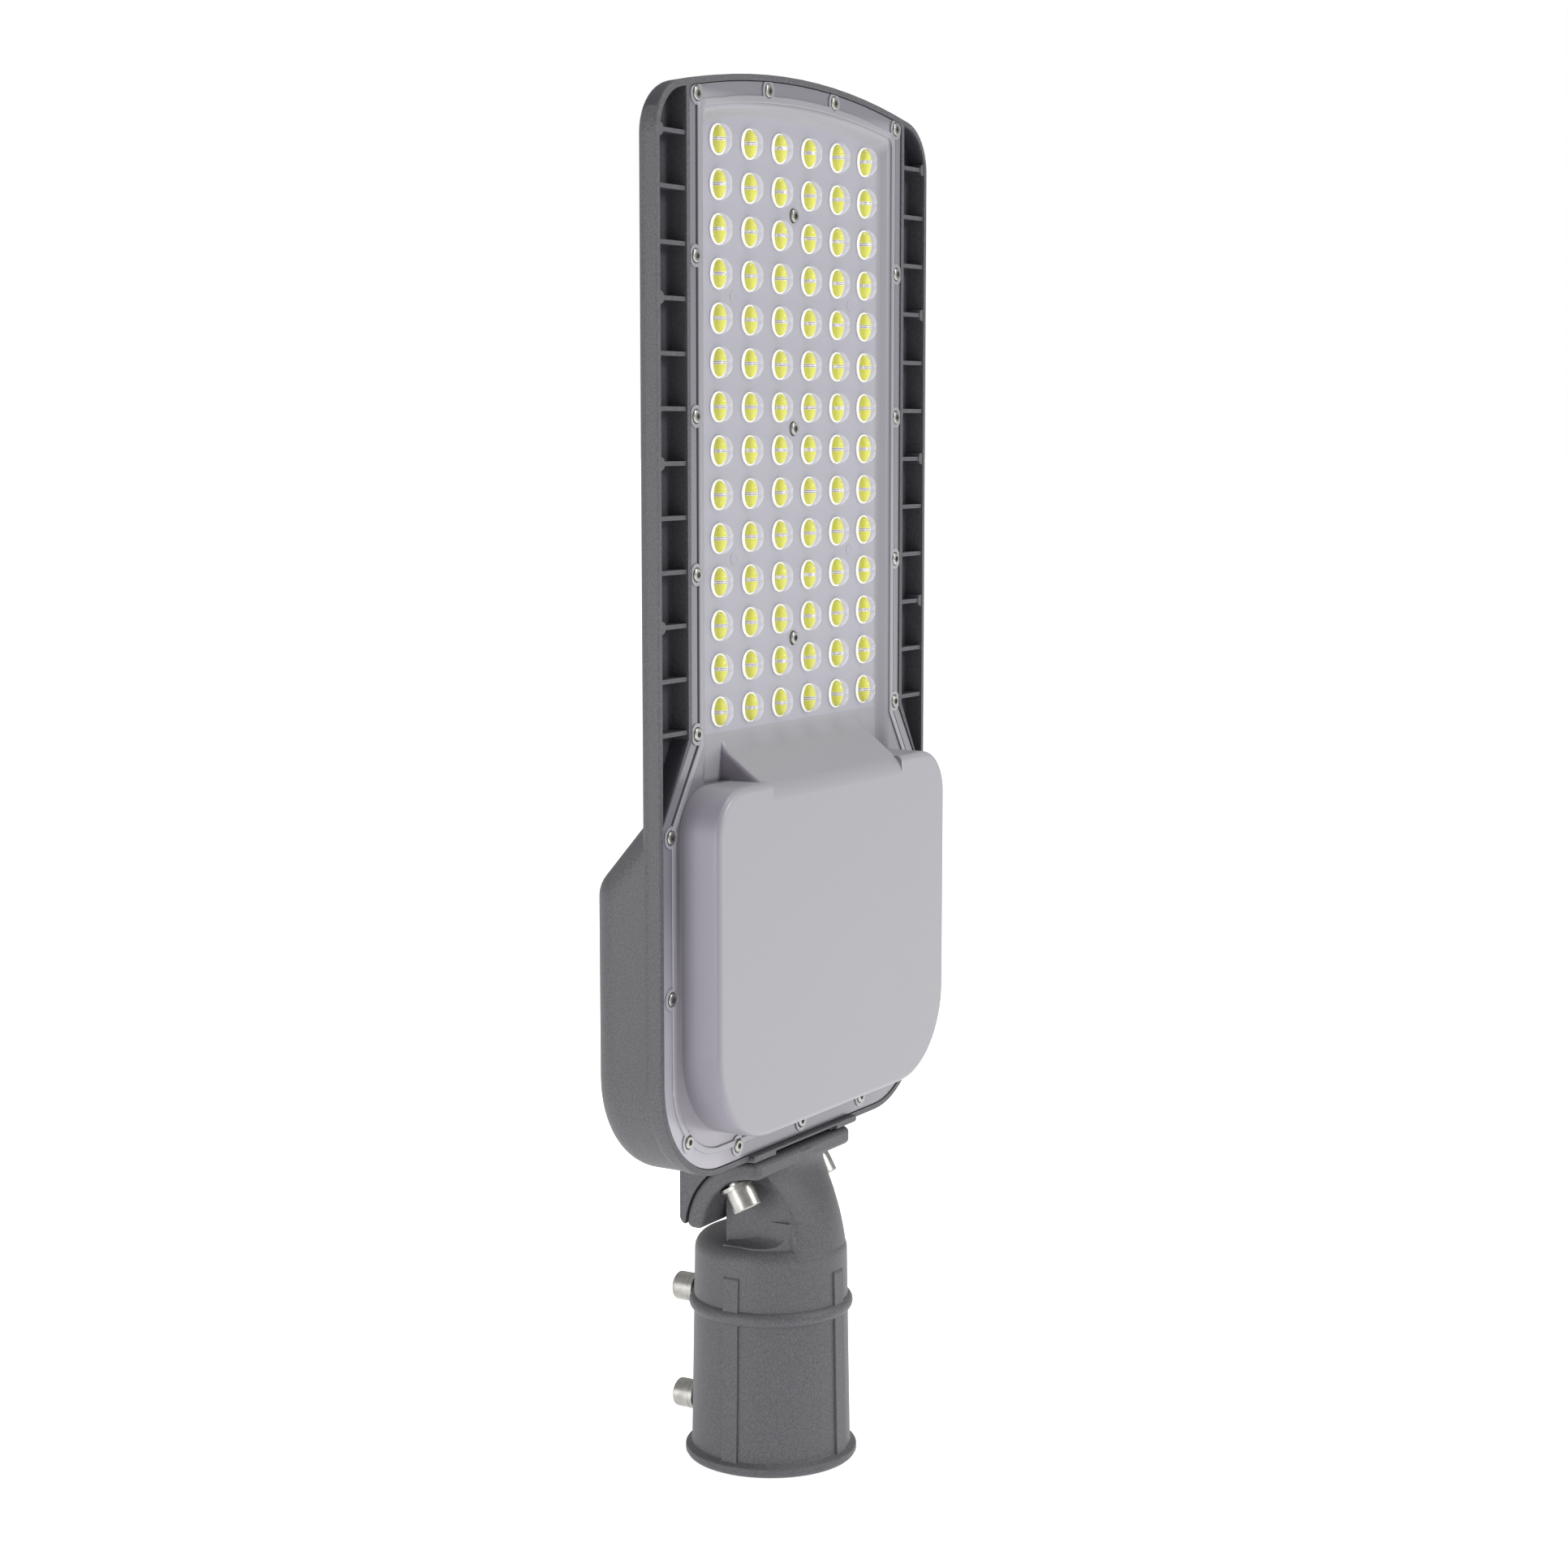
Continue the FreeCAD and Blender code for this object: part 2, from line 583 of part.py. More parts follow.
def bulge_box(inset, back):
    """Rounded box over the driver; an inset gives its hollow."""
    half = BULGE_HALF - inset
    low, high = BULGE_BOTTOM + inset, BULGE_TOP - inset
    low_r, high_r = BULGE_BOTTOM_R - inset, BULGE_TOP_R - inset
    front = BULGE_FRONT + inset
    body = in_xz([(-half, low, low_r), (half, low, low_r), (half, high, high_r), (-half, high, high_r)],
                 front, back)
    rim = [edge for edge in body.Edges if edge.BoundBox.YMax < front + 1e-3]
    return body.makeFillet(BULGE_EDGE_R - 0.5 * inset, rim)


def ramp(inset, back):
    """Slope between the light panel and the box's front, with drafted sides; an inset gives its hollow."""
    deep = back + 4.0
    profile = [(deep, RAMP_PROFILE[0][1] - inset, 0)]
    for y, z, radius in RAMP_PROFILE:
        profile.append((y + inset, z - 1.3 * inset, radius))
    profile.append((deep, RAMP_PROFILE[-1][1] - 1.3 * inset, 0))
    half = RAMP_HALF - inset
    foot = half + RAMP_DRAFT * (deep - PLATE_FRONT)
    tip = half - RAMP_DRAFT * (PLATE_FRONT - BULGE_FRONT)
    plan = [Vector(-foot, deep, 280), Vector(foot, deep, 280), Vector(tip, BULGE_FRONT, 280),
            Vector(-tip, BULGE_FRONT, 280), Vector(-foot, deep, 280)]
    wedge = Part.Face(Part.makePolygon(plan)).extrude(Vector(0, 0, 60))
    body = in_yz(profile, RAMP_HALF + 5).common(wedge)
    if not inset:
        sides = [edge for edge in body.Edges if edge.BoundBox.XMin * edge.BoundBox.XMax > 0
                 and edge.BoundBox.YMax < PLATE_FRONT + 0.05 and edge.BoundBox.ZMax > 290]
        body = body.makeFillet(RAMP_EDGE_R, sides)
    return body.common(box(-HEAD_HALF, HEAD_HALF, BULGE_FRONT - 1, back, 270, 340))


def ramp_clearance():
    """Space in front of the slope, where the box's top rim gives way to it."""
    half = RAMP_HALF - RAMP_DRAFT * (PLATE_FRONT - BULGE_FRONT) - RAMP_EDGE_R
    low = RAMP_PROFILE[1][1] - 6.0
    space = box(-half, half, BULGE_FRONT - 2, RAMP_PROFILE[2][0], low, RAMP_PROFILE[2][1])
    return space.cut(ramp(0.0, PLATE_BACK))


def front_cover():
    """One-piece moulded cover: screwed flange with a bead, recess for the optics, and the driver's bulge."""
    back = COVER_FRONT + COVER_T
    body = cover_prism(0, 0, COVER_FRONT, back)
    inner = cover_prism(BEAD_OUT_UP + BEAD_W, BEAD_OUT_LOW + BEAD_W, COVER_FRONT - 5, back, COVER_CORNER_R)
    bead = cover_prism(BEAD_OUT_UP, BEAD_OUT_LOW, COVER_FRONT - BEAD_RISE, COVER_FRONT + 0.5).cut(inner)
    crest = [edge for edge in bead.Edges if edge.BoundBox.YMax < COVER_FRONT - BEAD_RISE + 1e-3]
    bead = bead.makeFillet(0.6, crest)
    groove = cover_prism(BEAD_OUT_UP - GROOVE_W, BEAD_OUT_LOW - GROOVE_W, COVER_FRONT - 1, COVER_FRONT + GROOVE_D)
    groove = groove.cut(cover_prism(BEAD_OUT_UP, BEAD_OUT_LOW, COVER_FRONT - 2, back))
    groove = groove.common(Part.makeCompound(both_sides(
        box(GROOVE_INNER, HEAD_HALF, COVER_FRONT - 1, back, GROOVE_LOW, GROOVE_HIGH))))
    bosses = [cyl_y(x, z, BOSS_R, COVER_FRONT - BOSS_RISE, back) for x, z in screw_places()]
    field = cover_prism(0, 0, COVER_FRONT - 2, back)
    body = body.cut(groove).fuse([bead, Part.makeCompound(bosses).common(field)])
    wall = arched_prism(STEP_HALF, STEP_HALF, STEP_TOP, BULGE_TOP - 12, PLATE_CORNER_R, 2.0,
                        back - 0.2, PLATE_BACK, PLATE_ARCH_R)
    body = body.fuse(wall).cut(recess())
    body = body.fuse([bulge_box(0.0, back).cut(ramp_clearance()), ramp(0.0, PLATE_BACK)])
    body = body.cut(bulge_box(BULGE_WALL, PLATE_BACK + 1)).cut(ramp(RAMP_WALL, PLATE_BACK + 1))
    body = body.cut(plate_prism(PLATE_FRONT - 5, PLATE_BACK + 1))
    for x, z in screw_places():
        body = body.cut(cyl_y(x, z, SCREW_HOLE_R, -20, -5))
        body = body.cut(cyl_y(x, z, SCREW_HEAD_R + 0.3, -20, COVER_FRONT + 0.6))
    return body.removeSplitter()


def plate_prism(y0, y1):
    return arched_prism(PLATE_HALF, PLATE_HALF, PLATE_TOP, PLATE_BOTTOM, PLATE_CORNER_R, 0.5, y0, y1, PLATE_ARCH_R)


def lens_dome(x, z):
    """Clear twin-peaked optic over one light source, with its hollow underneath."""
    ball = Part.makeSphere(LENS_R)
    stretch = FreeCAD.Matrix()
    stretch.scale(1.0, LENS_RISE / LENS_R, 1.0)
    dome = ball.transformGeometry(stretch)
    dome.translate(Vector(x, PLATE_FRONT + 0.2, z))
    return dome.common(box(x - 8, x + 8, PLATE_FRONT - 8, PLATE_BACK, z - 8, z + 8))


def lens_plate():
    plate = plate_prism(PLATE_FRONT, PLATE_BACK)
    for z in CENTRE_SCREW_Z:
        plate = plate.cut(cyl_y(0, z, SCREW_HOLE_R, PLATE_FRONT - 1, PLATE_BACK + 1))
        plate = plate.cut(cyl_y(0, z, SCREW_HEAD_R + 0.3, PLATE_FRONT - 1, PLATE_FRONT + 0.6))
    domes = [lens_dome(x, z) for x, z in led_places()]
    plate = plate.fuse(domes)
    hollows = [cyl_y(x, z, 2.6, PLATE_BACK - 2.6, PLATE_BACK + 1) for x, z in led_places()]
    return plate.cut(Part.makeCompound(hollows)).removeSplitter()


def led_board():
    board = arched_prism(BOARD_HALF, BOARD_HALF, PLATE_TOP - 2, BOARD_BOTTOM, 4.0, 2.0,
                         PLATFORM - BOARD_T, PLATFORM, PLATE_ARCH_R)
    for z in CENTRE_SCREW_Z:
        board = board.cut(cyl_y(0, z, SCREW_HOLE_R, PLATFORM - 5, PLATFORM + 1))
    return board


def led_chips():
    half = CHIP_SIZE / 2
    front = PLATFORM - BOARD_T - CHIP_T
    return [box(x - half, x + half, front, PLATFORM - BOARD_T, z - half, z + half) for x, z in led_places()]


def pan_screw(x, z, seat, length):
    """Small pan-head screw with a hexagon socket, its head towards -Y."""
    head = cyl_y(x, z, SCREW_HEAD_R, seat - SCREW_HEAD_H, seat)
    crown = [edge for edge in head.Edges if edge.BoundBox.YMax < seat - SCREW_HEAD_H + 1e-3]
    head = head.makeFillet(0.7, crown)
    body = head.fuse(cyl_y(x, z, SCREW_R, seat - 0.1, seat + length))
    return body.cut(hexagon_y(x, z, 2.5, seat - SCREW_HEAD_H - 1, seat - SCREW_HEAD_H + 1.2)).removeSplitter()


def cover_screws():
    return [pan_screw(x, z, COVER_FRONT + 0.6, SCREW_LENGTH - 0.6) for x, z in screw_places()]


def board_screws():
    seat = PLATE_FRONT + 0.6
    return [pan_screw(0, z, seat, SINK_BASE - 0.6 - seat) for z in CENTRE_SCREW_Z]


# ---------------------------------------------------------------- electrical gear


def driver_bosses():
    middle = (DRIVER_LOW + DRIVER_HIGH) / 2
    return [(x, z) for x in (-78.0, 78.0) for z in (middle - 18, middle + 18)]


def driver():
    """Potted LED power supply with rounded corners."""
    body = in_xz([(-DRIVER_HALF, DRIVER_LOW, 5), (DRIVER_HALF, DRIVER_LOW, 5), (DRIVER_HALF, DRIVER_HIGH, 5),
                  (-DRIVER_HALF, DRIVER_HIGH, 5)], DRIVER_FRONT, DRIVER_BACK - EAR_T)
    rim = [edge for edge in body.Edges if edge.BoundBox.YMax < DRIVER_FRONT + 1e-3]
    return body.makeFillet(1.5, rim)


def driver_bracket():
    plate = in_xz([(-84, DRIVER_LOW + 4, 4), (84, DRIVER_LOW + 4, 4), (84, DRIVER_HIGH - 4, 4),
                   (-84, DRIVER_HIGH - 4, 4)], DRIVER_BACK - EAR_T, DRIVER_BACK)
    for x, z in driver_bosses():
        plate = plate.cut(cyl_y(x, z, SCREW_HOLE_R, 0, 10))
    return plate


def driver_screws():
    return [pan_screw(x, z, DRIVER_BACK - EAR_T, 7.0) for x, z in driver_bosses()]


def terminal_block():
    """Three-way screw terminal with wire openings below and above."""
    x0, x1 = TERMINAL_X
    z0, z1 = TERMINAL_Z
    body = box(x0, x1, -4, WALL_FRONT, z0, z1)
    pitch = (x1 - x0) / 3
    for index in range(3):
        x = x0 + pitch * (index + 0.5)
        body = body.cut(cyl_z(x, 4, 2.0, z0 - 1, z0 + 6))
        body = body.cut(cyl_z(x, 4, 2.0, z1 - 6, z1 + 1))
        body = body.cut(cyl_y(x, (z0 + z1) / 2, 3.0, -5, 0))
        if index:
            body = body.cut(box(x - pitch / 2 - 0.8, x - pitch / 2 + 0.8, -5, -1, z0 - 1, z1 + 1))
    return body


def terminal_screws():
    x0, x1 = TERMINAL_X
    pitch = (x1 - x0) / 3
    z = sum(TERMINAL_Z) / 2
    screws = []
    for index in range(3):
        x = x0 + pitch * (index + 0.5)
        screw = cyl_y(x, z, 2.7, -2.4, 0)
        screws.append(screw.cut(box(x - 3, x + 3, -3, -1.4, z - 0.5, z + 0.5)))
    return screws


def surge_protector():
    x0, x1 = SURGE_X
    z0, z1 = SURGE_Z
    body = box(x0, x1, -14, WALL_FRONT, z0, z1)
    edges = [edge for edge in body.Edges if edge.BoundBox.YMax - edge.BoundBox.YMin > 20]
    return body.makeFillet(3.0, edges)


def wire(points, radius):
    """Insulated wire along straight runs joined by tangent arcs."""
    edges = []
    start = points[0]
    for index in range(1, len(points) - 1):
        here = points[index]
        back = points[index - 1] - here
        ahead = points[index + 1] - here
        shorter = min(back.Length, ahead.Length)
        back.normalize()
        ahead.normalize()
        half = math.acos(max(-1.0, min(1.0, back.dot(ahead)))) / 2
        reach = 0.45 * shorter
        bend = reach * math.tan(half)
        first, last = here + back * reach, here + ahead * reach
        centre = here + (back + ahead).normalize() * (bend / math.sin(half))
        middle = centre + (here - centre).normalize() * bend
        edges.append(Part.makeLine(start, first))
        edges.append(arc(first, middle, last))
        start = last
    edges.append(Part.makeLine(start, points[-1]))
    path = Part.Wire(edges)
    heading = (points[1] - points[0]).normalize()
    section = Part.Wire([Part.Circle(points[0], heading, radius).toShape()])
    tube = path.makePipeShell([section], True, True)
    expected = math.pi * radius ** 2 * path.Length
    if abs(tube.Volume - expected) > 0.03 * expected:
        print("wire volume", tube.Volume, "expected", expected)
    return tube


def led_leads():
    """Two leads from the driver up to the light board's lower edge."""
    leads = []
    for side in (-1, 1):
        leads.append(wire([Vector(side * 18, -12, DRIVER_HIGH), Vector(side * 18, -12, DRIVER_HIGH + 9),
                           Vector(side * 16, -10.2, DRIVER_HIGH + 20), Vector(side * 11, -8.6, DRIVER_HIGH + 32),
                           Vector(side * 9, -8.2, BOARD_BOTTOM)], 0.9))
    return leads


def mains_leads():
    """Leads from the terminal block to the driver."""
    x0, x1 = TERMINAL_X
    pitch = (x1 - x0) / 3
    leads = []
    for index in range(3):
        x = x0 + pitch * (index + 0.5)
        leads.append(wire([Vector(x, 4, TERMINAL_Z[1] - 6), Vector(x, 4, TERMINAL_Z[1] + 6),
                           Vector(x - 2, -4, DRIVER_LOW - 12), Vector(x - 2, -4, DRIVER_LOW - 0.1)], 1.2))
    return leads


def inlet_leads():
    """Leads from the cable gland to the terminal block."""
    x0, x1 = TERMINAL_X
    pitch = (x1 - x0) / 3
    leads = []
    for index in range(3):
        x = x0 + pitch * (index + 0.5)
        start = INLET_PITCH * (index - 1)
        lift = 3.0 * (2 - index)
        leads.append(wire([Vector(start, CABLE_Y, INSERT_TOP), Vector(start, CABLE_Y, INSERT_TOP + 4 + lift),
                           Vector(start - 7, 4.2, INSERT_TOP + 7 + lift), Vector(x + 6, 4.0, INSERT_TOP + 1),
                           Vector(x, 4, INSERT_TOP + 5), Vector(x, 4, TERMINAL_Z[0] + 6)], 1.2))
    return leads


def cable_gland():
    """Threaded inlet body standing in the seat's cable hole."""
    foot = cyl_z(0, CABLE_Y, CABLE_HOLE_R - HOLE_CLEAR, 143.0, GLAND_SEAT + 1)
    collar = hex_z(0, CABLE_Y, GLAND_AF, GLAND_SEAT, GLAND_SEAT + 4)
    neck = cyl_z(0, CABLE_Y, GLAND_NECK_R, GLAND_SEAT + 3, GLAND_SEAT + 9)
    return foot.fuse([collar, neck]).cut(cyl_z(0, CABLE_Y, INSERT_R, 140, 170)).removeSplitter()


def gland_nut():
    dome = hex_z(0, CABLE_Y, NUT_AF, GLAND_SEAT + 4.2, GLAND_SEAT + 12)
    top = [edge for edge in dome.Edges if edge.BoundBox.ZMin > GLAND_SEAT + 11.9]
    dome = dome.makeChamfer(1.0, top)
    dome = dome.cut(cyl_z(0, CABLE_Y, GLAND_NECK_R + HOLE_CLEAR, 150, GLAND_SEAT + 9.1))
    return dome.cut(cyl_z(0, CABLE_Y, INSERT_R, 150, 170))


def gland_insert():
    insert = cyl_z(0, CABLE_Y, INSERT_R - HOLE_CLEAR, GLAND_SEAT + 0.5, INSERT_TOP)
    for index in range(3):
        insert = insert.cut(cyl_z(INLET_PITCH * (index - 1), CABLE_Y, 1.2, 140, 170))
    return insert


def hex_z(x, y, across, z0, z1):
    corners = []
    for step in range(7):
        turn = math.radians(60 * step)
        radius = across / math.sqrt(3)
        corners.append(Vector(x + radius * math.cos(turn), y + radius * math.sin(turn), z0))
    return Part.Face(Part.makePolygon(corners)).extrude(Vector(0, 0, z1 - z0))


def breather_vent():
    """Screwed pressure vent in the compartment's back wall."""
    vents = []
    for x, y, z in vent_places():
        stem = cyl_y(x, z, VENT_STEM_R, WALL_FRONT - 0.4, BOX_BACK + 0.5)
        cap = cyl_y(x, z, VENT_CAP_R, BOX_BACK, BOX_BACK + 3.4)
        rim = [edge for edge in cap.Edges if edge.BoundBox.YMin > BOX_BACK + 3.3]
        vents.append(stem.fuse(cap.makeFillet(1.2, rim)).removeSplitter())
    return vents


# ---------------------------------------------------------------- adapter
def tube():
    """Pole socket: slightly tapered tube with a foot ring, a bead and four ribs."""
    taper = (TUBE_R_LOW - TUBE_R_TOP) / TUBE_TOP
    outline = [(0, 0, 0), (FOOT_R - 1, 0, 1.0), (FOOT_R, 1.6, 0), (FOOT_R, FOOT_H - 1.2, 1.0),
               (TUBE_R_LOW - taper * FOOT_H, FOOT_H + 0.6, 0.8), (TUBE_R_TOP, TUBE_TOP, SHOULDER_R), (0, TUBE_TOP, 0)]
    points = [(Vector(x, 0, z), radius) for x, z, radius in outline]
    profile = rounded_face(points)
    body = profile.revolve(Vector(0, 0, 0), Vector(0, 0, 1), 360)
    ring_r = TUBE_R_LOW - taper * BEAD_Z
    ring = Part.makeTorus(ring_r - 1.4, BEAD_HALF, Vector(0, 0, BEAD_Z), Vector(0, 0, 1))
    ribs = []
    for x, y in ((1, 0), (-1, 0), (0, 1), (0, -1)):
        foot = TUBE_R_LOW + RIB_PROUD
        head = TUBE_R_TOP + RIB_PROUD
        blade = [(20, 2.0, 0), (foot, 2.0, 0), (head, TUBE_TOP - 13, 2.0), (20, TUBE_TOP - 9, 0)]
        points = [(Vector(radius, -RIB_HALF, z), corner) for radius, z, corner in blade]
        rib = rounded_prism(points, Vector(0, 2 * RIB_HALF, 0))
        rib.rotate(Vector(0, 0, 0), Vector(0, 0, 1), math.degrees(math.atan2(y, x)))
        ribs.append(rib)
    return body.fuse([ring] + ribs)


def rounded_face(points):
    """Face over a closed outline of (point, corner radius) pairs."""
    solid = rounded_prism(points, Vector(0, 1, 0))
    return [face for face in solid.Faces if abs(face.BoundBox.YMax) < 1e-6 and abs(face.BoundBox.YMin) < 1e-6][0]


def soften(shape, edges, radius):
    """Rounds the edges, with a smaller radius where the full one doesn't fit."""
    for share in (1.0, 0.6, 0.3):
        try:
            rounded = shape.makeFillet(radius * share, edges)
        except Part.OCCError:
            continue
        if rounded.isValid() and abs(rounded.Volume - shape.Volume) < 0.05 * shape.Volume:
            return rounded
    print("edges left sharp:", len(edges))
    return shape


def neck():
    """Neck from the socket up to the saddle: an oval front that leans back, and flat sides."""
    rings = []
    for z, across, deep in NECK_SECTIONS:
        if across > deep:
            ring = Part.Ellipse(Vector(0, 0, z), across, deep)
        else:
            ring = Part.Circle(Vector(0, 0, z), Vector(0, 0, 1), across)
        rings.append(Part.Wire([ring.toShape()]))
    oval = Part.makeLoft(rings, True)
    low, high = NECK_SECTIONS[0][0], NECK_SECTIONS[-1][0]
    plan = [(-NECK_HALF, -40), (NECK_HALF, -40), (NECK_HALF, -20), (NECK_BACK_HALF, NECK_BACK),
            (-NECK_BACK_HALF, NECK_BACK), (-NECK_HALF, -20), (-NECK_HALF, -40)]
    sides = Part.Face(Part.makePolygon([Vector(x, y, low) for x, y in plan])).extrude(Vector(0, 0, high - low))
    web = oval.common(sides)
    front = [edge for edge in web.Edges if edge.BoundBox.YMax < -5 and edge.BoundBox.ZLength > 20
             and abs(edge.BoundBox.XMin) > NECK_HALF - 1]
    web = soften(web, front, 3.0)
    flare = []
    for side in (-1, 1):
        flare.append(in_xz([(side * 10, 118, 0), (side * NECK_HALF, 118, 0), (side * NECK_HALF, 124, 10.0),
                            (side * NECK_TOP_HALF, 134, 0), (side * NECK_TOP_HALF, high, 0),
                            (side * 10, high, 0)], -40, 0).common(oval))
        foot = in_xz([(side * 10, TUBE_TOP - 4, 0), (side * 29.5, TUBE_TOP - 4, 0), (side * 29.5, TUBE_TOP, 0),
                      (side * (NECK_HALF + 2.4), TUBE_TOP + 0.4, 6.0), (side * (NECK_HALF + 1.4), 112, 0),
                      (side * 10, 112, 0)], -23, NECK_BACK - 1)
        flare.append(foot.common(cyl_z(0, 0, TUBE_R_TOP - 3.6, 90, 120)))
    under_saddle = cyl_x(PIVOT_Y, PIVOT_Z, SADDLE_R - 2, 60).fuse(box(-60, 60, -60, 60, 80, PIVOT_Z))
    return web.fuse(flare).common(under_saddle)


def saddle():
    """Quarter-round flange that the head's seat slides on, with a plain band in front."""
    inner = SADDLE_R - SADDLE_T
    ring = saddle_sector(inner, SADDLE_R, SADDLE_LOW_DEG, 90, -SADDLE_HALF, SADDLE_HALF)
    band = box(-SADDLE_HALF, SADDLE_HALF, SADDLE_FRONT, PIVOT_Y, PIVOT_Z + inner, PIVOT_Z + SADDLE_R)
    flange = ring.fuse(band).removeSplitter()
    ends = [edge for edge in flange.Edges
            if edge.BoundBox.XLength > 80 and edge.BoundBox.ZMax < PIVOT_Z + 4]
    flange = flange.makeFillet(SADDLE_EDGE_R, ends)
    corners = [edge for edge in flange.Edges if edge.BoundBox.YMax < SADDLE_FRONT + 1e-3
               and edge.BoundBox.XLength < 1e-3]
    flange = soften(flange, corners, 4.0)
    low = [edge for edge in flange.Edges if edge.BoundBox.YMax < SADDLE_FRONT + 6
           and edge.BoundBox.ZMax < PIVOT_Z + inner + 1e-3]
    flange = soften(flange, low, 2.6)
    high = [edge for edge in flange.Edges if edge.BoundBox.YMax < SADDLE_FRONT + 6
            and edge.BoundBox.ZMin > PIVOT_Z + SADDLE_R - 1e-3]
    return soften(flange, high, 1.2)


def bolt_slot(x):
    """Slot along the saddle's arc for the bolt's travel from one tilt limit to the other."""
    low = BOLT_DEG - TILT_BACK_DEG
    high = BOLT_DEG + TILT_FRONT_DEG
    track = saddle_sector(18.0, 40.0, low, high, x - BOLT_SLOT_R, x + BOLT_SLOT_R)
    ends = []
    for degrees in (low, high):
        pin = Part.makeCylinder(BOLT_SLOT_R, 24, Vector(0, 0, 17))
        pin.rotate(Vector(0, 0, 0), Vector(1, 0, 0), degrees - 90)
        pin.translate(Vector(x, PIVOT_Y, PIVOT_Z))
        ends.append(pin)
    return track.fuse(ends)


def spigot_adapter():
    body = fuse([tube(), neck(), saddle()])
    clamp = []
    for z in POLE_SCREW_Z:
        clamp.append(cyl_y(0, z, CLAMP_BOSS_R, 28, CLAMP_BOSS_Y))
    body = body.fuse(clamp)
    body = body.cut(cyl_z(0, 0, SOCKET_R, -1, SOCKET_DEEP))
    passage = box(-NECK_HOLE_HALF, NECK_HOLE_HALF, -16, 4, SOCKET_DEEP - 1, 124)
    window = saddle_sector(6.0, 40.0, WINDOW_LOW_DEG, WINDOW_HIGH_DEG, -NECK_HOLE_HALF, NECK_HOLE_HALF)
    body = body.cut(passage).cut(window)
    for x in (-BOLT_X, BOLT_X):
        body = body.cut(bolt_slot(x))
    for z in POLE_SCREW_Z:
        body = body.cut(cyl_y(0, z, BOLT_R + THREAD_CLEAR, 20, 50))
    return body.removeSplitter()


def socket_cap_z(length, point):
    """Socket-head bolt along +Z: head from z = 0 to HEAD_CAP_H, shank above it."""
    head = Part.makeCylinder(HEAD_CAP_R, HEAD_CAP_H)
    crown = [edge for edge in head.Edges if edge.BoundBox.ZMax < 1e-3]
    head = head.makeFillet(0.9, crown)
    shank = Part.makeCylinder(BOLT_R, length + 0.1, Vector(0, 0, HEAD_CAP_H - 0.1))
    tip = [edge for edge in shank.Edges if edge.BoundBox.ZMin > HEAD_CAP_H + length - 0.01]
    shank = shank.makeChamfer(point, tip)
    corners = []
    for step in range(7):
        turn = math.radians(60 * step)
        radius = HEX_AF / math.sqrt(3)
        corners.append(Vector(radius * math.cos(turn), radius * math.sin(turn), -1))
    socket = Part.Face(Part.makePolygon(corners)).extrude(Vector(0, 0, HEX_DEEP + 1))
    return head.fuse(shank).cut(socket).removeSplitter()



def tilt_bolt(x):
    base = FLAT_WASHER_TOP_R - FLAT_WASHER_T - SPRING_WASHER_T - HEAD_CAP_H
    bolt = socket_cap_z(BOLT_TIP_R - base - HEAD_CAP_H, 0.8)
    bolt.translate(Vector(0, 0, base))
    return along_bolt(bolt, x)


def flat_washer(x):
    ring = Part.makeCylinder(FLAT_WASHER_R, FLAT_WASHER_T, Vector(0, 0, FLAT_WASHER_TOP_R - FLAT_WASHER_T))
    ring = ring.cut(Part.makeCylinder(BOLT_R + 0.2, 20, Vector(0, 0, 15)))
    return along_bolt(ring, x)


def spring_washer_z(base):
    """Split spring washer along +Z."""
    ring = Part.makeCylinder(6.4, SPRING_WASHER_T, Vector(0, 0, base))
    ring = ring.cut(Part.makeCylinder(BOLT_R + 0.15, SPRING_WASHER_T + 2, Vector(0, 0, base - 1)))
    gap = box(0, 8, -0.5, 0.5, base - 1, base + SPRING_WASHER_T + 1)
    gap.rotate(Vector(0, 0, base + SPRING_WASHER_T / 2), Vector(1, 0, 0), 25)
    return ring.cut(gap)


def tilt_spring_washer(x):
    return along_bolt(spring_washer_z(FLAT_WASHER_TOP_R - FLAT_WASHER_T - SPRING_WASHER_T), x)


def pole_screw(z):
    screw = socket_cap_z(POLE_SCREW_LENGTH, 1.0)
    screw.rotate(Vector(0, 0, 0), Vector(1, 0, 0), 90)
    screw.translate(Vector(0, WASHER_Y + SPRING_WASHER_T + HEAD_CAP_H, z))
    return screw


def pole_spring_washer(z):
    ring = spring_washer_z(0)
    ring.rotate(Vector(0, 0, 0), Vector(1, 0, 0), 90)
    ring.translate(Vector(0, WASHER_Y + SPRING_WASHER_T, z))
    return ring


# ---------------------------------------------------------------- all sub-parts
save("housing", housing())
save("front_cover", front_cover())
save("lens_plate", lens_plate())
save("cover_gasket", cover_gasket())
save("seat_seal", seal_ring(0.05))
save("led_board", led_board())
save("led_chips", led_chips())
save("board_screws", board_screws())
save("cover_screws", cover_screws())
save("driver", driver())
save("driver_bracket", driver_bracket())
save("driver_screws", driver_screws())
save("terminal_block", terminal_block())
save("terminal_screws", terminal_screws())
save("surge_protector", surge_protector())
save("led_leads", led_leads())
save("mains_leads", mains_leads())
save("inlet_leads", inlet_leads())
save("cable_gland", cable_gland())
save("gland_nut", gland_nut())
save("gland_insert", gland_insert())
save("breather_vent", breather_vent())
save("spigot_adapter", spigot_adapter())
for side, x in (("left", -BOLT_X), ("right", BOLT_X)):
    save("tilt_bolt_" + side, tilt_bolt(x))
    save("flat_washer_" + side, flat_washer(x))
    save("spring_washer_" + side, tilt_spring_washer(x))
for level, z in zip(("lower", "upper"), POLE_SCREW_Z):
    save("pole_screw_" + level, pole_screw(z))
    save("pole_washer_" + level, pole_spring_washer(z))
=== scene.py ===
"""Looks for the LED street luminaire head: finishes, the moulded optics, the studio and the camera."""

import json
import math

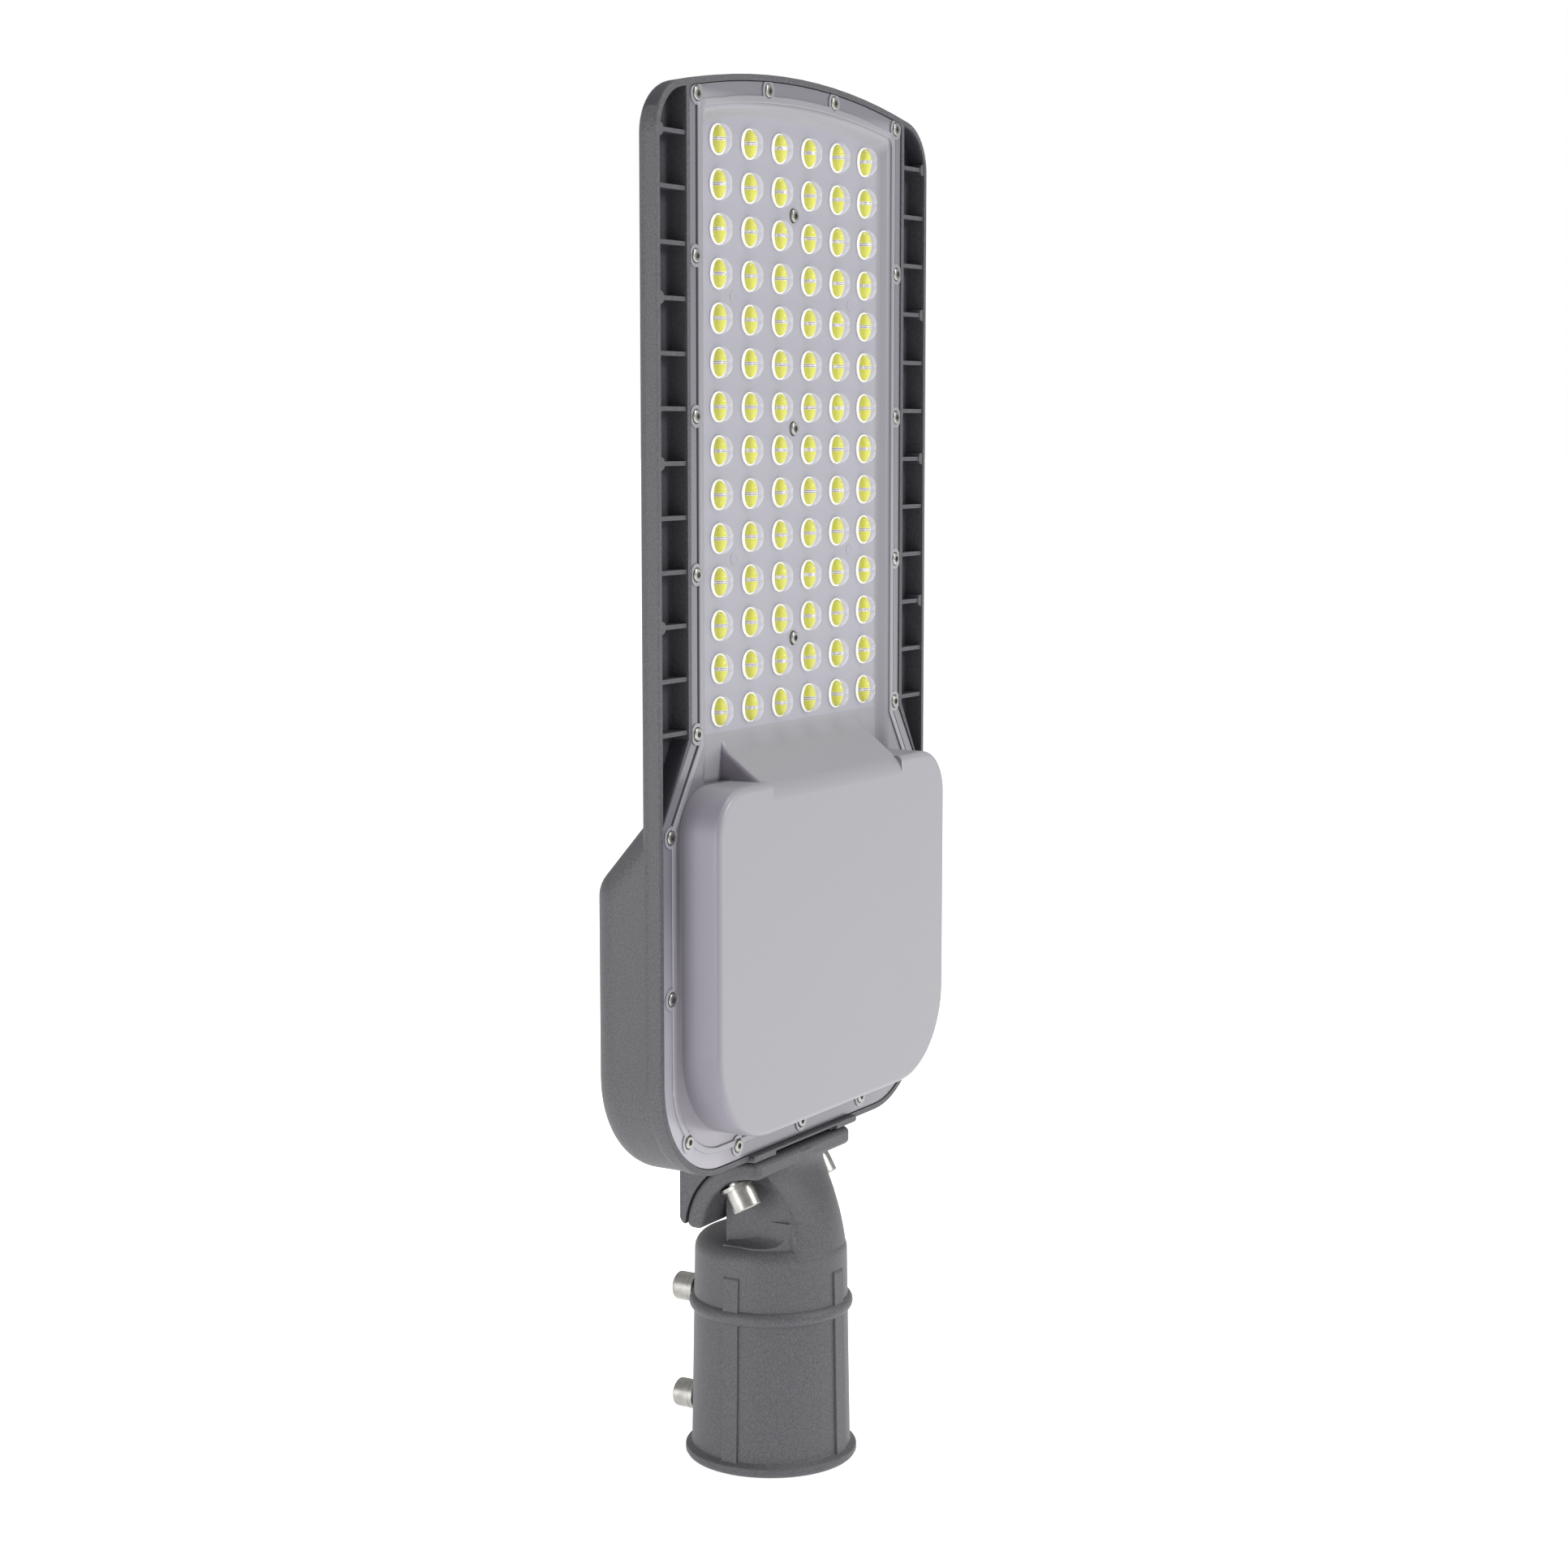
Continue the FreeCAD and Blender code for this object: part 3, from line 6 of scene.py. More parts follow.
import bmesh
import bpy
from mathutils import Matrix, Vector


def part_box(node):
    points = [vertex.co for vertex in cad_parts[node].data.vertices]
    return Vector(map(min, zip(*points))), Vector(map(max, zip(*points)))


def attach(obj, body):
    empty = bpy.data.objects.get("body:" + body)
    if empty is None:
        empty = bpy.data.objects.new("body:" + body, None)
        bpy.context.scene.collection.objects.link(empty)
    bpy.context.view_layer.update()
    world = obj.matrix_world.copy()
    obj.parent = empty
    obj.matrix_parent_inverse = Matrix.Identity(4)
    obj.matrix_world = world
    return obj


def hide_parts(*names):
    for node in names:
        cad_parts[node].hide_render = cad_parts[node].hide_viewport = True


# ---------------------------------------------------------------- sizes, in metres
MM = 0.001
DOME_R = 6.8 * MM
DOME_RISE = 5.9 * MM
DOME_FLAT = 2.3
VALLEY_DEEP = 0.45 * MM
VALLEY_HALF = 1.15 * MM
CORE_X = 3.5 * MM
CORE_Y = 2.75 * MM
CORE_Z = 5.75 * MM
CORE_LIFT = 0.95 * MM
BAND_HALF = 0.75 * MM
LINE_OFFSET = 0.38 * MM
LINE_HALF = 0.17 * MM
DISH_R = 6.35 * MM
DISH_RISE = 0.55 * MM
PANEL_T = 2.0 * MM
PANEL_ARCH_R = 473.0 * MM
PANEL_CORNER_R = 4.0 * MM
PANEL_LAP = 0.12 * MM
PANEL_SINK = 0.02 * MM
SCREW_RECESS_R = 3.1 * MM
MARK_R = 2.7 * MM
MARK_RISE = 0.16 * MM
TENT_LIGHT = 0.50
FLOOR_GLOW = 0.75
FLOOR_R = 40.0
FLOOR_Z = -0.0004
CHANNEL_IN, CHANNEL_OUT = 0.0917, 0.1111
CHANNEL_FRONT, CHANNEL_BACK = -0.0146, -0.0066
CHANNEL_LOW = 0.296
RECESS_HALF = 0.0785
RECESS_LOW, RECESS_HIGH = 0.312, 0.5905
FLANGE_FRONT = -0.0163
BEAD_BACK = -0.01545
# Top and right edges of the painted pool of light on the cover's lower left.
PAINTED_LIGHT_TOP = 0.24
PAINTED_LIGHT_RIGHT = -0.06
RECESS_DEEP = 1.2 * MM
MARK_DROP = 9.0 * MM
MARK_ROWS = (3, 9)
CHIP_REACH = 0.006
SCREW_REACH = 0.02
GRAIN_SCALE = 700.0
GRAIN_DEEP = 0.00008
CAMERA_PLACE = (-1.0889, -0.6479, 0.4576)
CAMERA_PITCH = 83.0
CAMERA_TURN = -59.51
CAMERA_LENS = 66.87

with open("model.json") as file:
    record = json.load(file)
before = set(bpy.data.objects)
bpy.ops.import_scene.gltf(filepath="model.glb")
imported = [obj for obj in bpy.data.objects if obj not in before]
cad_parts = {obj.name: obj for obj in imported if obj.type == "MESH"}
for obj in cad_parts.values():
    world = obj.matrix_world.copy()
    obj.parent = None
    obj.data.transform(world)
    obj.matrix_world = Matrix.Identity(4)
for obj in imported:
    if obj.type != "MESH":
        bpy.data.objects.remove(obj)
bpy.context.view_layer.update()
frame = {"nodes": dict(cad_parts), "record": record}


# ---------------------------------------------------------------- shader maths
class Value:
    """A socket in a finish, on which arithmetic adds Math nodes."""

    def __init__(self, finish, socket):
        self.finish = finish
        self.socket = socket

    def maths(self, operation, *others, clamp=False):
        inputs = dict(enumerate((self,) + others))
        return self.finish.node("ShaderNodeMath", {"operation": operation, "use_clamp": clamp}, inputs)

    def __add__(self, other):
        return self.maths("ADD", other)

    __radd__ = __add__

    def __sub__(self, other):
        return self.maths("SUBTRACT", other)

    def __rsub__(self, other):
        return (self * -1.0) + other

    def __mul__(self, other):
        return self.maths("MULTIPLY", other)

    __rmul__ = __mul__

    def __truediv__(self, other):
        return self.maths("DIVIDE", other)

    def size(self):
        return self.maths("ABSOLUTE")

    def above(self, edge, soft):
        """0 below an edge and 1 above it, with a soft step."""
        return ((self - (edge - soft)) / (2 * soft)).maths("ADD", 0.0, clamp=True)

    def below(self, edge, soft):
        return 1 - self.above(edge, soft)


class Finish:
    """A material being made, with the one method that adds a node."""

    def __init__(self, name, shown, **constants):
        self.material = bpy.data.materials.new(name)
        self.material.use_nodes = True
        self.material.diffuse_color = (*shown, 1.0)
        self.tree = self.material.node_tree
        self.shader = self.tree.nodes["Principled BSDF"]
        for socket, value in constants.items():
            self.shader.inputs[socket.replace("_", " ")].default_value = value

    def node(self, kind, settings=None, inputs=None, output=0):
        made = self.tree.nodes.new(kind)
        for name, value in (settings or {}).items():
            setattr(made, name, value)
        for name, value in (inputs or {}).items():
            self.feed(made.inputs[name], value)
        return Value(self, made.outputs[output])

    def feed(self, socket, value):
        if isinstance(value, Value):
            self.tree.links.new(value.socket, socket)
        else:
            socket.default_value = value

    def place(self):
        return self.node("ShaderNodeTexCoord", output="Object")

    def facing(self):
        return self.node("ShaderNodeTexCoord", output="Normal")

    def part(self, vector, axis):
        return self.node("ShaderNodeSeparateXYZ", None, {0: vector}, axis)

    def stretched(self, vector, factors):
        return self.node("ShaderNodeVectorMath", {"operation": "MULTIPLY"}, {0: vector, 1: factors})

    def noise(self, vector, scale, detail=2.0, roughness=0.5):
        return self.node("ShaderNodeTexNoise", None,
                         {"Vector": vector, "Scale": scale, "Detail": detail, "Roughness": roughness})

    def cells(self, vector, scale):
        return self.node("ShaderNodeTexVoronoi", {"feature": "F1"}, {"Vector": vector, "Scale": scale})

    def mix(self, factor, first, second):
        """Colour between two colours, by a factor from 0 to 1."""
        return self.node("ShaderNodeMix", {"data_type": "RGBA"}, {0: factor, 6: first, 7: second}, 2)

    def raised(self, height, distance, strength):
        return self.node("ShaderNodeBump", None,
                         {"Height": height, "Distance": distance, "Strength": strength})

    def wear(self, **sockets):
        """Feeds what changes over the surface to the shader."""
        for name, value in sockets.items():
            self.feed(self.shader.inputs[name.replace("_", " ")], value)
        return self.material


def colour(red, green, blue):
    return (red, green, blue, 1.0)


# ---------------------------------------------------------------- finishes
def powder_coat():
    """Grey powder coat on a die casting: orange peel, a sandy grain, and painted shade that darkens the
    channels.
    """
    coat = Finish("powder_coat", (0.09, 0.09, 0.095), IOR=1.47)
    place = coat.place()
    across, depth, height = (coat.part(place, axis) for axis in range(3))
    grain = coat.noise(place, 1300.0, 3.0, 0.62)
    peel = coat.noise(place, 420.0, 2.0, 0.5)
    drift = coat.noise(place, 22.0, 3.0, 0.55)
    speck = coat.noise(place, 2600.0, 1.0).above(0.66, 0.05)
    tone = coat.mix(grain.above(0.5, 0.22), colour(0.038, 0.038, 0.045), colour(0.098, 0.097, 0.106))
    tone = coat.mix(drift.above(0.5, 0.25) * 0.30, tone, colour(0.074, 0.078, 0.082))
    tone = coat.mix(speck * 0.30, tone, colour(0.20, 0.20, 0.205))
    # Painted shade: the floors and walls of the deep channels by the rim are darkened where shade falls in
    # them.
    channel_shade = across.size().above(CHANNEL_IN, 0.0003) * across.size().below(CHANNEL_OUT, 0.0003)
    channel_shade = channel_shade * depth.above(CHANNEL_FRONT, 0.0006) * depth.below(CHANNEL_BACK, 0.0005)
    channel_shade = channel_shade * height.above(CHANNEL_LOW, 0.003)
    tone = coat.mix(channel_shade * 0.66, tone, colour(0.018, 0.015, 0.026))
    relief = grain * 0.45 + peel * 0.55
    return coat.wear(Base_Color=tone, Roughness=0.43 + 0.16 * grain + 0.05 * drift,
                     Normal=coat.raised(relief, 0.00022, 0.55))


def clear_cover():
    """Satin polycarbonate: milky over the driver, greyer where its flange lies on the casting.

    The flange's lower left is lightened as a painted pool of light, its side faces are darkened as painted
    shade, and its bead is lightened as a painted highlight.
    """
    cover = Finish("clear_cover", (0.47, 0.47, 0.5), IOR=1.585, Coat_Roughness=0.16)
    place = cover.place()
    across, depth, height = (cover.part(place, axis) for axis in range(3))
    # Painted shade: faces turned to the sides get darker tones than faces turned to the front, top and
    # bottom.
    front = cover.part(cover.facing(), 0).size().below(0.55, 0.30)
    satin = cover.noise(place, 900.0, 2.0)
    flow = cover.noise(cover.stretched(place, (18.0, 18.0, 5.0)), 1.0, 3.0, 0.5)
    milky = cover.mix(front, colour(0.196, 0.182, 0.222), colour(0.258, 0.255, 0.278))
    flange_tone = cover.mix(front, colour(0.118, 0.114, 0.135), colour(0.142, 0.136, 0.158))
    in_recess = across.size().below(RECESS_HALF, 0.0012) * height.above(RECESS_LOW, 0.001)
    in_recess = in_recess * height.below(RECESS_HIGH, 0.0025)
    flange = depth.above(FLANGE_FRONT, 0.0003) * (1 - in_recess)
    # Painted highlight: the frontmost face of the flange, its bead, gets a lighter tone where light catches
    # it.
    bead = flange * depth.below(BEAD_BACK, 0.0002)
    # Painted light: a lighter patch on the flange's lower left, where light falls on it.
    painted_light = height.below(PAINTED_LIGHT_TOP, 0.03) * across.below(PAINTED_LIGHT_RIGHT, 0.01)
    flange_tone = cover.mix(painted_light, flange_tone, colour(0.30, 0.285, 0.325))
    tone = cover.mix(flange, milky, flange_tone)
    tone = cover.mix(bead * 0.55, tone, colour(0.30, 0.295, 0.325))
    tone = cover.mix(flow.above(0.5, 0.3) * 0.06, tone, colour(0.30, 0.295, 0.33))
    return cover.wear(Base_Color=tone, Roughness=0.44 - 0.17 * flange + 0.05 * satin,
                      Coat_Weight=0.08 + 0.42 * flange,
                      Normal=cover.raised(satin, 0.00005, 0.35))


def optic_panel_finish():
    """Satin face of the moulded light panel."""
    panel = Finish("optic_panel_satin", (0.46, 0.46, 0.51), IOR=1.585, Coat_Roughness=0.2)
    place = panel.place()
    satin = panel.noise(place, 850.0, 2.0)
    flow = panel.noise(place, 14.0, 3.0)
    tone = panel.mix(flow.above(0.5, 0.3), colour(0.290, 0.286, 0.330), colour(0.310, 0.305, 0.350))
    tone = panel.mix(satin.above(0.5, 0.3) * 0.10, tone, colour(0.26, 0.255, 0.30))
    return panel.wear(Base_Color=tone, Roughness=0.40 + 0.07 * satin, Coat_Weight=0.10 + 0.05 * flow,
                      Normal=panel.raised(satin, 0.00005, 0.35))


def lens_clear():
    """Clear polished optic: see-through in front, and whiter and less see-through towards its rim as a
    painted reflection.
    """
    lens = Finish("lens_clear", (0.9, 0.9, 0.95), IOR=1.52, Coat_Weight=1.0, Coat_Roughness=0.03)
    # Painted reflection: the facing weight whitens the colour and raises the opacity towards the rim.
    rim = lens.node("ShaderNodeLayerWeight", None, {"Blend": 0.42}, "Facing")
    streak = lens.noise(lens.place(), 500.0, 2.0)
    return lens.wear(Base_Color=lens.mix(rim, colour(0.86, 0.86, 0.92), colour(0.97, 0.97, 1.0)),
                     Roughness=0.04 + 0.03 * streak,
                     Alpha=0.06 + 0.50 * rim.maths("POWER", 2.6))


def phosphor_core(rows):
    """Yellow phosphor as the optic shows it: two lobes, and between them a white band with two broken dark
    lines.
    """
    top, pitch = rows
    core = Finish("phosphor_core", (0.78, 0.76, 0.1), IOR=1.5)
    place = core.place()
    height = core.part(place, 2)
    row = ((height - top) / pitch + 0.5).maths("FLOOR")
    local = height - (row * pitch + top)
    band = local.size().below(BAND_HALF, 0.00012)
    line = (local.size() - LINE_OFFSET).size().below(LINE_HALF, 0.00005)
    broken = core.noise(core.stretched(place, (700.0, 700.0, 260.0)), 1.0, 1.0).above(0.42, 0.04)
    grain = core.noise(place, 1500.0, 2.0)
    yellow = core.mix(grain, colour(0.50, 0.50, 0.020), colour(0.60, 0.59, 0.040))
    tone = core.mix(band, yellow, colour(0.66, 0.64, 0.66))
    tone = core.mix(line * broken * 0.85, tone, colour(0.10, 0.09, 0.10))
    return core.wear(Base_Color=tone, Roughness=0.5 - 0.1 * band)


def painted_reflection_white():
    """White dish under each optic, a painted reflection: seen through the clear optic it shows as the bright
    crescent at its edge.
    """
    dish = Finish("painted_reflection_white", (0.9, 0.9, 0.92), IOR=1.5)
    grain = dish.noise(dish.place(), 900.0, 2.0)
    return dish.wear(Base_Color=dish.mix(grain, colour(0.90, 0.90, 0.93), colour(0.97, 0.97, 0.98)),
                     Roughness=0.22 + 0.08 * grain)


def stainless():
    """Turned stainless steel, with fine tool marks and a few duller patches."""
    steel = Finish("stainless", (0.6, 0.59, 0.57), Metallic=1.0)
    place = steel.place()
    marks = steel.noise(steel.stretched(place, (900.0, 5200.0, 900.0)), 1.0, 2.0)
    patch = steel.noise(place, 260.0, 3.0)
    tone = steel.mix(patch.above(0.5, 0.25), colour(0.30, 0.295, 0.275), colour(0.46, 0.45, 0.425))
    return steel.wear(Base_Color=tone, Roughness=0.22 + 0.16 * marks + 0.08 * patch,
                      Normal=steel.raised(marks, 0.00004, 0.3))


def zinc_steel():
    """Zinc-plated sheet steel with a faint spangle."""
    zinc = Finish("zinc_steel", (0.55, 0.56, 0.58), Metallic=1.0)
    place = zinc.place()
    spangle = zinc.cells(place, 240.0)
    marks = zinc.noise(place, 900.0, 2.0)
    tone = zinc.mix(spangle, colour(0.50, 0.51, 0.53), colour(0.64, 0.65, 0.66))
    return zinc.wear(Base_Color=tone, Roughness=0.32 + 0.12 * spangle + 0.06 * marks,
                     Normal=zinc.raised(marks, 0.00003, 0.3))


def moulded(name, low, high, rough):
    """Moulded plastic or rubber with a fine spark-eroded grain."""
    plastic = Finish(name, high[:3], IOR=1.49)
    place = plastic.place()
    grain = plastic.noise(place, GRAIN_SCALE, 3.0, 0.6)
    drift = plastic.noise(place, 40.0, 2.0)
    tone = plastic.mix(grain * 0.6 + drift * 0.4, low, high)
    return plastic.wear(Base_Color=tone, Roughness=rough + 0.12 * grain,
                        Normal=plastic.raised(grain, GRAIN_DEEP, 0.4))


def board_white():
    """White solder mask over the glass weave of the light board."""
    board = Finish("board_white", (0.8, 0.81, 0.8), IOR=1.5)
    place = board.place()
    weave = (board.part(place, 0) * 6000.0).maths("SINE") * (board.part(place, 2) * 6000.0).maths("SINE")
    drift = board.noise(place, 60.0, 3.0)
    tone = board.mix(drift, colour(0.74, 0.75, 0.74), colour(0.84, 0.85, 0.84))
    return board.wear(Base_Color=tone, Roughness=0.34 + 0.10 * drift,
                      Normal=board.raised(weave, 0.00002, 0.25))


def phosphor():
    """Bare phosphor faces of the light sources."""
    chip = Finish("phosphor", (0.8, 0.7, 0.1), IOR=1.45)
    grain = chip.noise(chip.place(), 2500.0, 2.0)
    return chip.wear(Base_Color=chip.mix(grain, colour(0.78, 0.66, 0.05), colour(0.86, 0.78, 0.12)),
                     Roughness=0.45 + 0.1 * grain)


def brass():
    """Turned brass, dulled in places."""
    turned = Finish("brass", (0.7, 0.52, 0.22), Metallic=1.0)
    place = turned.place()
    dull = turned.noise(place, 300.0, 3.0)
    marks = turned.noise(turned.stretched(place, (600.0, 600.0, 5200.0)), 1.0)
    return turned.wear(Base_Color=turned.mix(dull, colour(0.50, 0.34, 0.13), colour(0.74, 0.56, 0.25)),
                       Roughness=0.26 + 0.14 * dull, Normal=turned.raised(marks, 0.00004, 0.3))


MOULDED = {
    "seal_rubber": (colour(0.012, 0.012, 0.014), colour(0.03, 0.03, 0.034), 0.62),
    "driver_case": (colour(0.62, 0.62, 0.60), colour(0.72, 0.72, 0.70), 0.42),
    "terminal_plastic": (colour(0.55, 0.55, 0.53), colour(0.66, 0.66, 0.63), 0.4),
    "surge_case": (colour(0.03, 0.05, 0.12), colour(0.05, 0.08, 0.17), 0.4),
    "lead_white": (colour(0.70, 0.70, 0.68), colour(0.80, 0.80, 0.78), 0.38),
    "lead_brown": (colour(0.10, 0.04, 0.02), colour(0.16, 0.07, 0.035), 0.38),
    "gland_plastic": (colour(0.02, 0.02, 0.022), colour(0.045, 0.045, 0.05), 0.45),
}
FINISHES = {
    "powder_coat": powder_coat,
    "clear_cover": clear_cover,
    "lens": optic_panel_finish,
    "board_white": board_white,
    "phosphor": phosphor,
    "stainless": stainless,
    "zinc_steel": zinc_steel,
    "brass": brass,
}


def finish_parts():
    """Gives every part of the frame the full finish of its material slot."""
    made = {slot: make() for slot, make in FINISHES.items()}
    made.update({slot: moulded(slot, *look) for slot, look in MOULDED.items()})
    slot_of = {entry["node"]: entry["material_slot"] for entry in frame["record"]["subparts"]}
    for name, part in frame["nodes"].items():
        for held in part.material_slots:
            held.material = made[slot_of[name]]
    return made


# ---------------------------------------------------------------- mesh helpers
def centres(name, reach):
    """Middles of the separate solids in one part, found by gathering points that lie within a reach."""
    found = []
    for vertex in frame["nodes"][name].data.vertices:
        for group in found:
            if (group[0] - vertex.co).length < reach:
                group.append(vertex.co.copy())
                break
        else:
            found.append([vertex.co.copy()])
    middles = []
    for group in found:
        low = Vector([min(point[axis] for point in group) for axis in range(3)])
        high = Vector([max(point[axis] for point in group) for axis in range(3)])
        middles.append((low + high) / 2)
    return middles


def piece(name, build, material, body):
    """A new piece from a bmesh, smooth, riding on a body."""
    mesh = bpy.data.meshes.new(name)
    mesh.from_pydata(*build)
    mesh.update()
    for face in mesh.polygons:
        face.use_smooth = True
    mesh.materials.append(material)
    made = bpy.data.objects.new(name, mesh)
    bpy.context.scene.collection.objects.link(made)
    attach(made, body)
    return made


def round_rings(profile):
    """Rings from pairs of a radius and a depth."""
    return [lambda angle, r=r, y=y: (r * math.cos(angle), y, r * math.sin(angle)) for r, y in profile]


def turned_rings(rings, turns, centre, close_last=True):
    """Points and faces of a closed form round Y: each ring is a function of the angle giving (x, y, z)."""
    points, faces = [], []
    for ring in rings:
        for step in range(turns):
            x, y, z = ring(2 * math.pi * step / turns)
            points.append((centre.x + x, centre.y + y, centre.z + z))
    for level in range(len(rings) - 1):
        for step in range(turns):
            after = (step + 1) % turns
            faces.append((level * turns + step, level * turns + after,
                          (level + 1) * turns + after, (level + 1) * turns + step))
    faces.append(tuple(range(turns - 1, -1, -1)))
    if close_last:
        last = (len(rings) - 1) * turns
        faces.append(tuple(range(last, last + turns)))
    return points, faces


def gathered(forms):
    """Several forms as the points, edges and faces of one mesh."""
    points, faces = [], []
    for form_points, form_faces in forms:
        base = len(points)
        points += form_points
        faces += [tuple(index + base for index in face) for face in form_faces]
    return points, [], faces


# ---------------------------------------------------------------- optics
def dome_ring(share):
    """Ring of the clear optic at a share of its radius: domed, with a shallow valley across its middle."""
    def ring(angle):
        x = share * DOME_R * math.cos(angle)
        z = share * DOME_R * math.sin(angle)
        rise = DOME_RISE * (1 - share ** DOME_FLAT) ** (1 / DOME_FLAT)
        rise -= VALLEY_DEEP * math.exp(-(z / VALLEY_HALF) ** 2) * (1 - share ** 4)
        return x, -rise, z
    return ring


def optic_dome(foot):
    """Clear dome standing on the light panel."""
    shares = [1.0, 0.995, 0.975, 0.94, 0.88, 0.80, 0.70, 0.58, 0.44, 0.30, 0.16, 0.05]
    rings = [lambda angle: (DOME_R * math.cos(angle), 0.3 * MM, DOME_R * math.sin(angle))]
    rings += [dome_ring(share) for share in shares]
    return turned_rings(rings, 40, foot)


def core_form(foot):
    """Egg-shaped core behind the optic, longest along Z."""
    rings = []
    for step in range(1, 13):
        lean = math.pi * step / 13
        rings.append(lambda angle, lean=lean: (CORE_X * math.sin(lean) * math.cos(angle),
                                               -CORE_LIFT - CORE_Y * math.cos(lean),
                                               CORE_Z * math.sin(lean) * math.sin(angle)))
    return turned_rings(rings, 28, foot)


def dish_form(foot):
    """White dish with a raised rim."""
    profile = [(DISH_R, 0.0), (DISH_R, -DISH_RISE), (DISH_R - 0.25 * MM, -DISH_RISE),
               (DISH_R - 1.3 * MM, -0.25 * MM), (DISH_R - 3.0 * MM, -0.08 * MM), (0.4 * MM, -0.06 * MM)]
    return turned_rings(round_rings(profile), 32, foot)


def mark_form(foot):
    """Faint round witness mark of an ejector pin."""
    profile = [(MARK_R, 0.1 * MM), (MARK_R, -0.6 * MARK_RISE), (MARK_R - 0.15 * MM, -MARK_RISE),
               (MARK_R - 0.45 * MM, -MARK_RISE), (MARK_R - 0.65 * MM, 0.02 * MM)]
    return turned_rings(round_rings(profile), 32, foot, close_last=False)


def floor_form(foot):
    """Floor of a screw recess in the light panel, a little dished."""
    profile = [(SCREW_RECESS_R * 1.05, 0.0), (SCREW_RECESS_R * 0.5, 0.1 * MM)]
    return turned_rings(round_rings(profile), 32, foot)


def panel_outline(half, top, bottom, arch_r, corner_r):
    """Outline of the light panel in X and Z: an arched top with small round corners, and a straight foot."""
    arch_z = top - arch_r
    corner_z = arch_z + math.sqrt((arch_r - corner_r) ** 2 - (half - corner_r) ** 2)
    lean = math.atan2(half - corner_r, corner_z - arch_z)
    right = [(half, bottom)]
    for step in range(9):
        angle = (math.pi / 2 - lean) * step / 8
        right.append((half - corner_r + corner_r * math.cos(angle), corner_z + corner_r * math.sin(angle)))
    for step in range(1, 24):
        angle = lean * (1 - step / 24)
        right.append((arch_r * math.sin(angle), arch_z + arch_r * math.cos(angle)))
    left = [(-x, z) for x, z in reversed(right)]
    return right + [(0.0, top)] + left


def flat_sheet(name, outline, holes, thickness, front, material, body):
    """Flat moulding in the XZ plane with round holes and a small round on its edges."""
    line = bpy.data.curves.new(name + "_line", "CURVE")
    line.dimensions = "2D"
    line.fill_mode = "BOTH"
    round_off = 0.12 * MM
    line.extrude = thickness / 2 - round_off
    line.bevel_depth = round_off
    line.bevel_resolution = 2
    line.offset = -round_off
    loops = [outline]
    for x, z, radius in holes:
        angles = [math.tau * step / 36 for step in range(36)]
        loops.append([(x + radius * math.cos(angle), z + radius * math.sin(angle)) for angle in angles])
    for loop in loops:
        spline = line.splines.new("POLY")
        spline.points.add(len(loop) - 1)
        for point, (x, z) in zip(spline.points, loop):
            point.co = (x, z, 0.0, 1.0)
        spline.use_cyclic_u = True
    drawn = bpy.data.objects.new(name + "_line", line)
    bpy.context.scene.collection.objects.link(drawn)
    bpy.context.view_layer.update()
    mesh = bpy.data.meshes.new_from_object(drawn)
    bpy.data.objects.remove(drawn)
    mesh.name = name
    for vertex in mesh.vertices:
        x, z, deep = vertex.co
        vertex.co = (x, front + thickness / 2 - deep, z)
    body_mesh = bmesh.new()
    body_mesh.from_mesh(mesh)
    bmesh.ops.remove_doubles(body_mesh, verts=body_mesh.verts, dist=1e-7)
    bmesh.ops.recalc_face_normals(body_mesh, faces=body_mesh.faces)
    body_mesh.to_mesh(mesh)
    body_mesh.free()
    mesh.materials.clear()
    mesh.materials.append(material)
    made = bpy.data.objects.new(name, mesh)
    bpy.context.scene.collection.objects.link(made)
    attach(made, body)
    return made


def build_optics(made):
    """The moulded light panel: satin sheet, clear optics, and what shows through them."""
    low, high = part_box("lens_plate")
    back = high.y
    front = back - PANEL_T
    chips = centres("led_chips", CHIP_REACH)
    heights = sorted({round(chip.z, 5) for chip in chips}, reverse=True)
    rows = (heights[0], heights[1] - heights[0])
    screws = centres("board_screws", SCREW_REACH)
    outline = panel_outline(high.x + PANEL_LAP, high.z + PANEL_LAP, low.z - PANEL_LAP,
                            PANEL_ARCH_R, PANEL_CORNER_R)
    holes = [(screw.x, screw.z, SCREW_RECESS_R) for screw in screws]
    panel = flat_sheet("optic_panel", outline, holes, PANEL_T - PANEL_SINK, front + PANEL_SINK, made["lens"],
                       "head")
    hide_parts("lens_plate")
    feet = [Vector((chip.x, front, chip.z)) for chip in chips]
    piece("optic_domes", gathered([optic_dome(foot) for foot in feet]), lens_clear(), "head")
    piece("phosphor_cores", gathered([core_form(foot) for foot in feet]), phosphor_core(rows),
          "head")
    # Painted reflection: white dishes under the optics stand in for the bright crescents the optics reflect.
    piece("painted_reflection_dishes", gathered([dish_form(foot) for foot in feet]), painted_reflection_white(),
          "head")
    sinks = [Vector((0, front + RECESS_DEEP, screw.z)) for screw in screws]
    floors = [floor_form(sink) for sink in sinks]
    piece("screw_recess_floors", gathered(floors), made["lens"], "head")
    columns = sorted({round(chip.x, 5) for chip in chips})
    between = (columns[0] + columns[1]) / 2
    spots = [(between * side, heights[row] - MARK_DROP) for side in (1, -1) for row in MARK_ROWS]
    marks = [mark_form(Vector((x, front, z))) for x, z in spots]
    piece("moulding_marks", gathered(marks), made["lens"], "head")


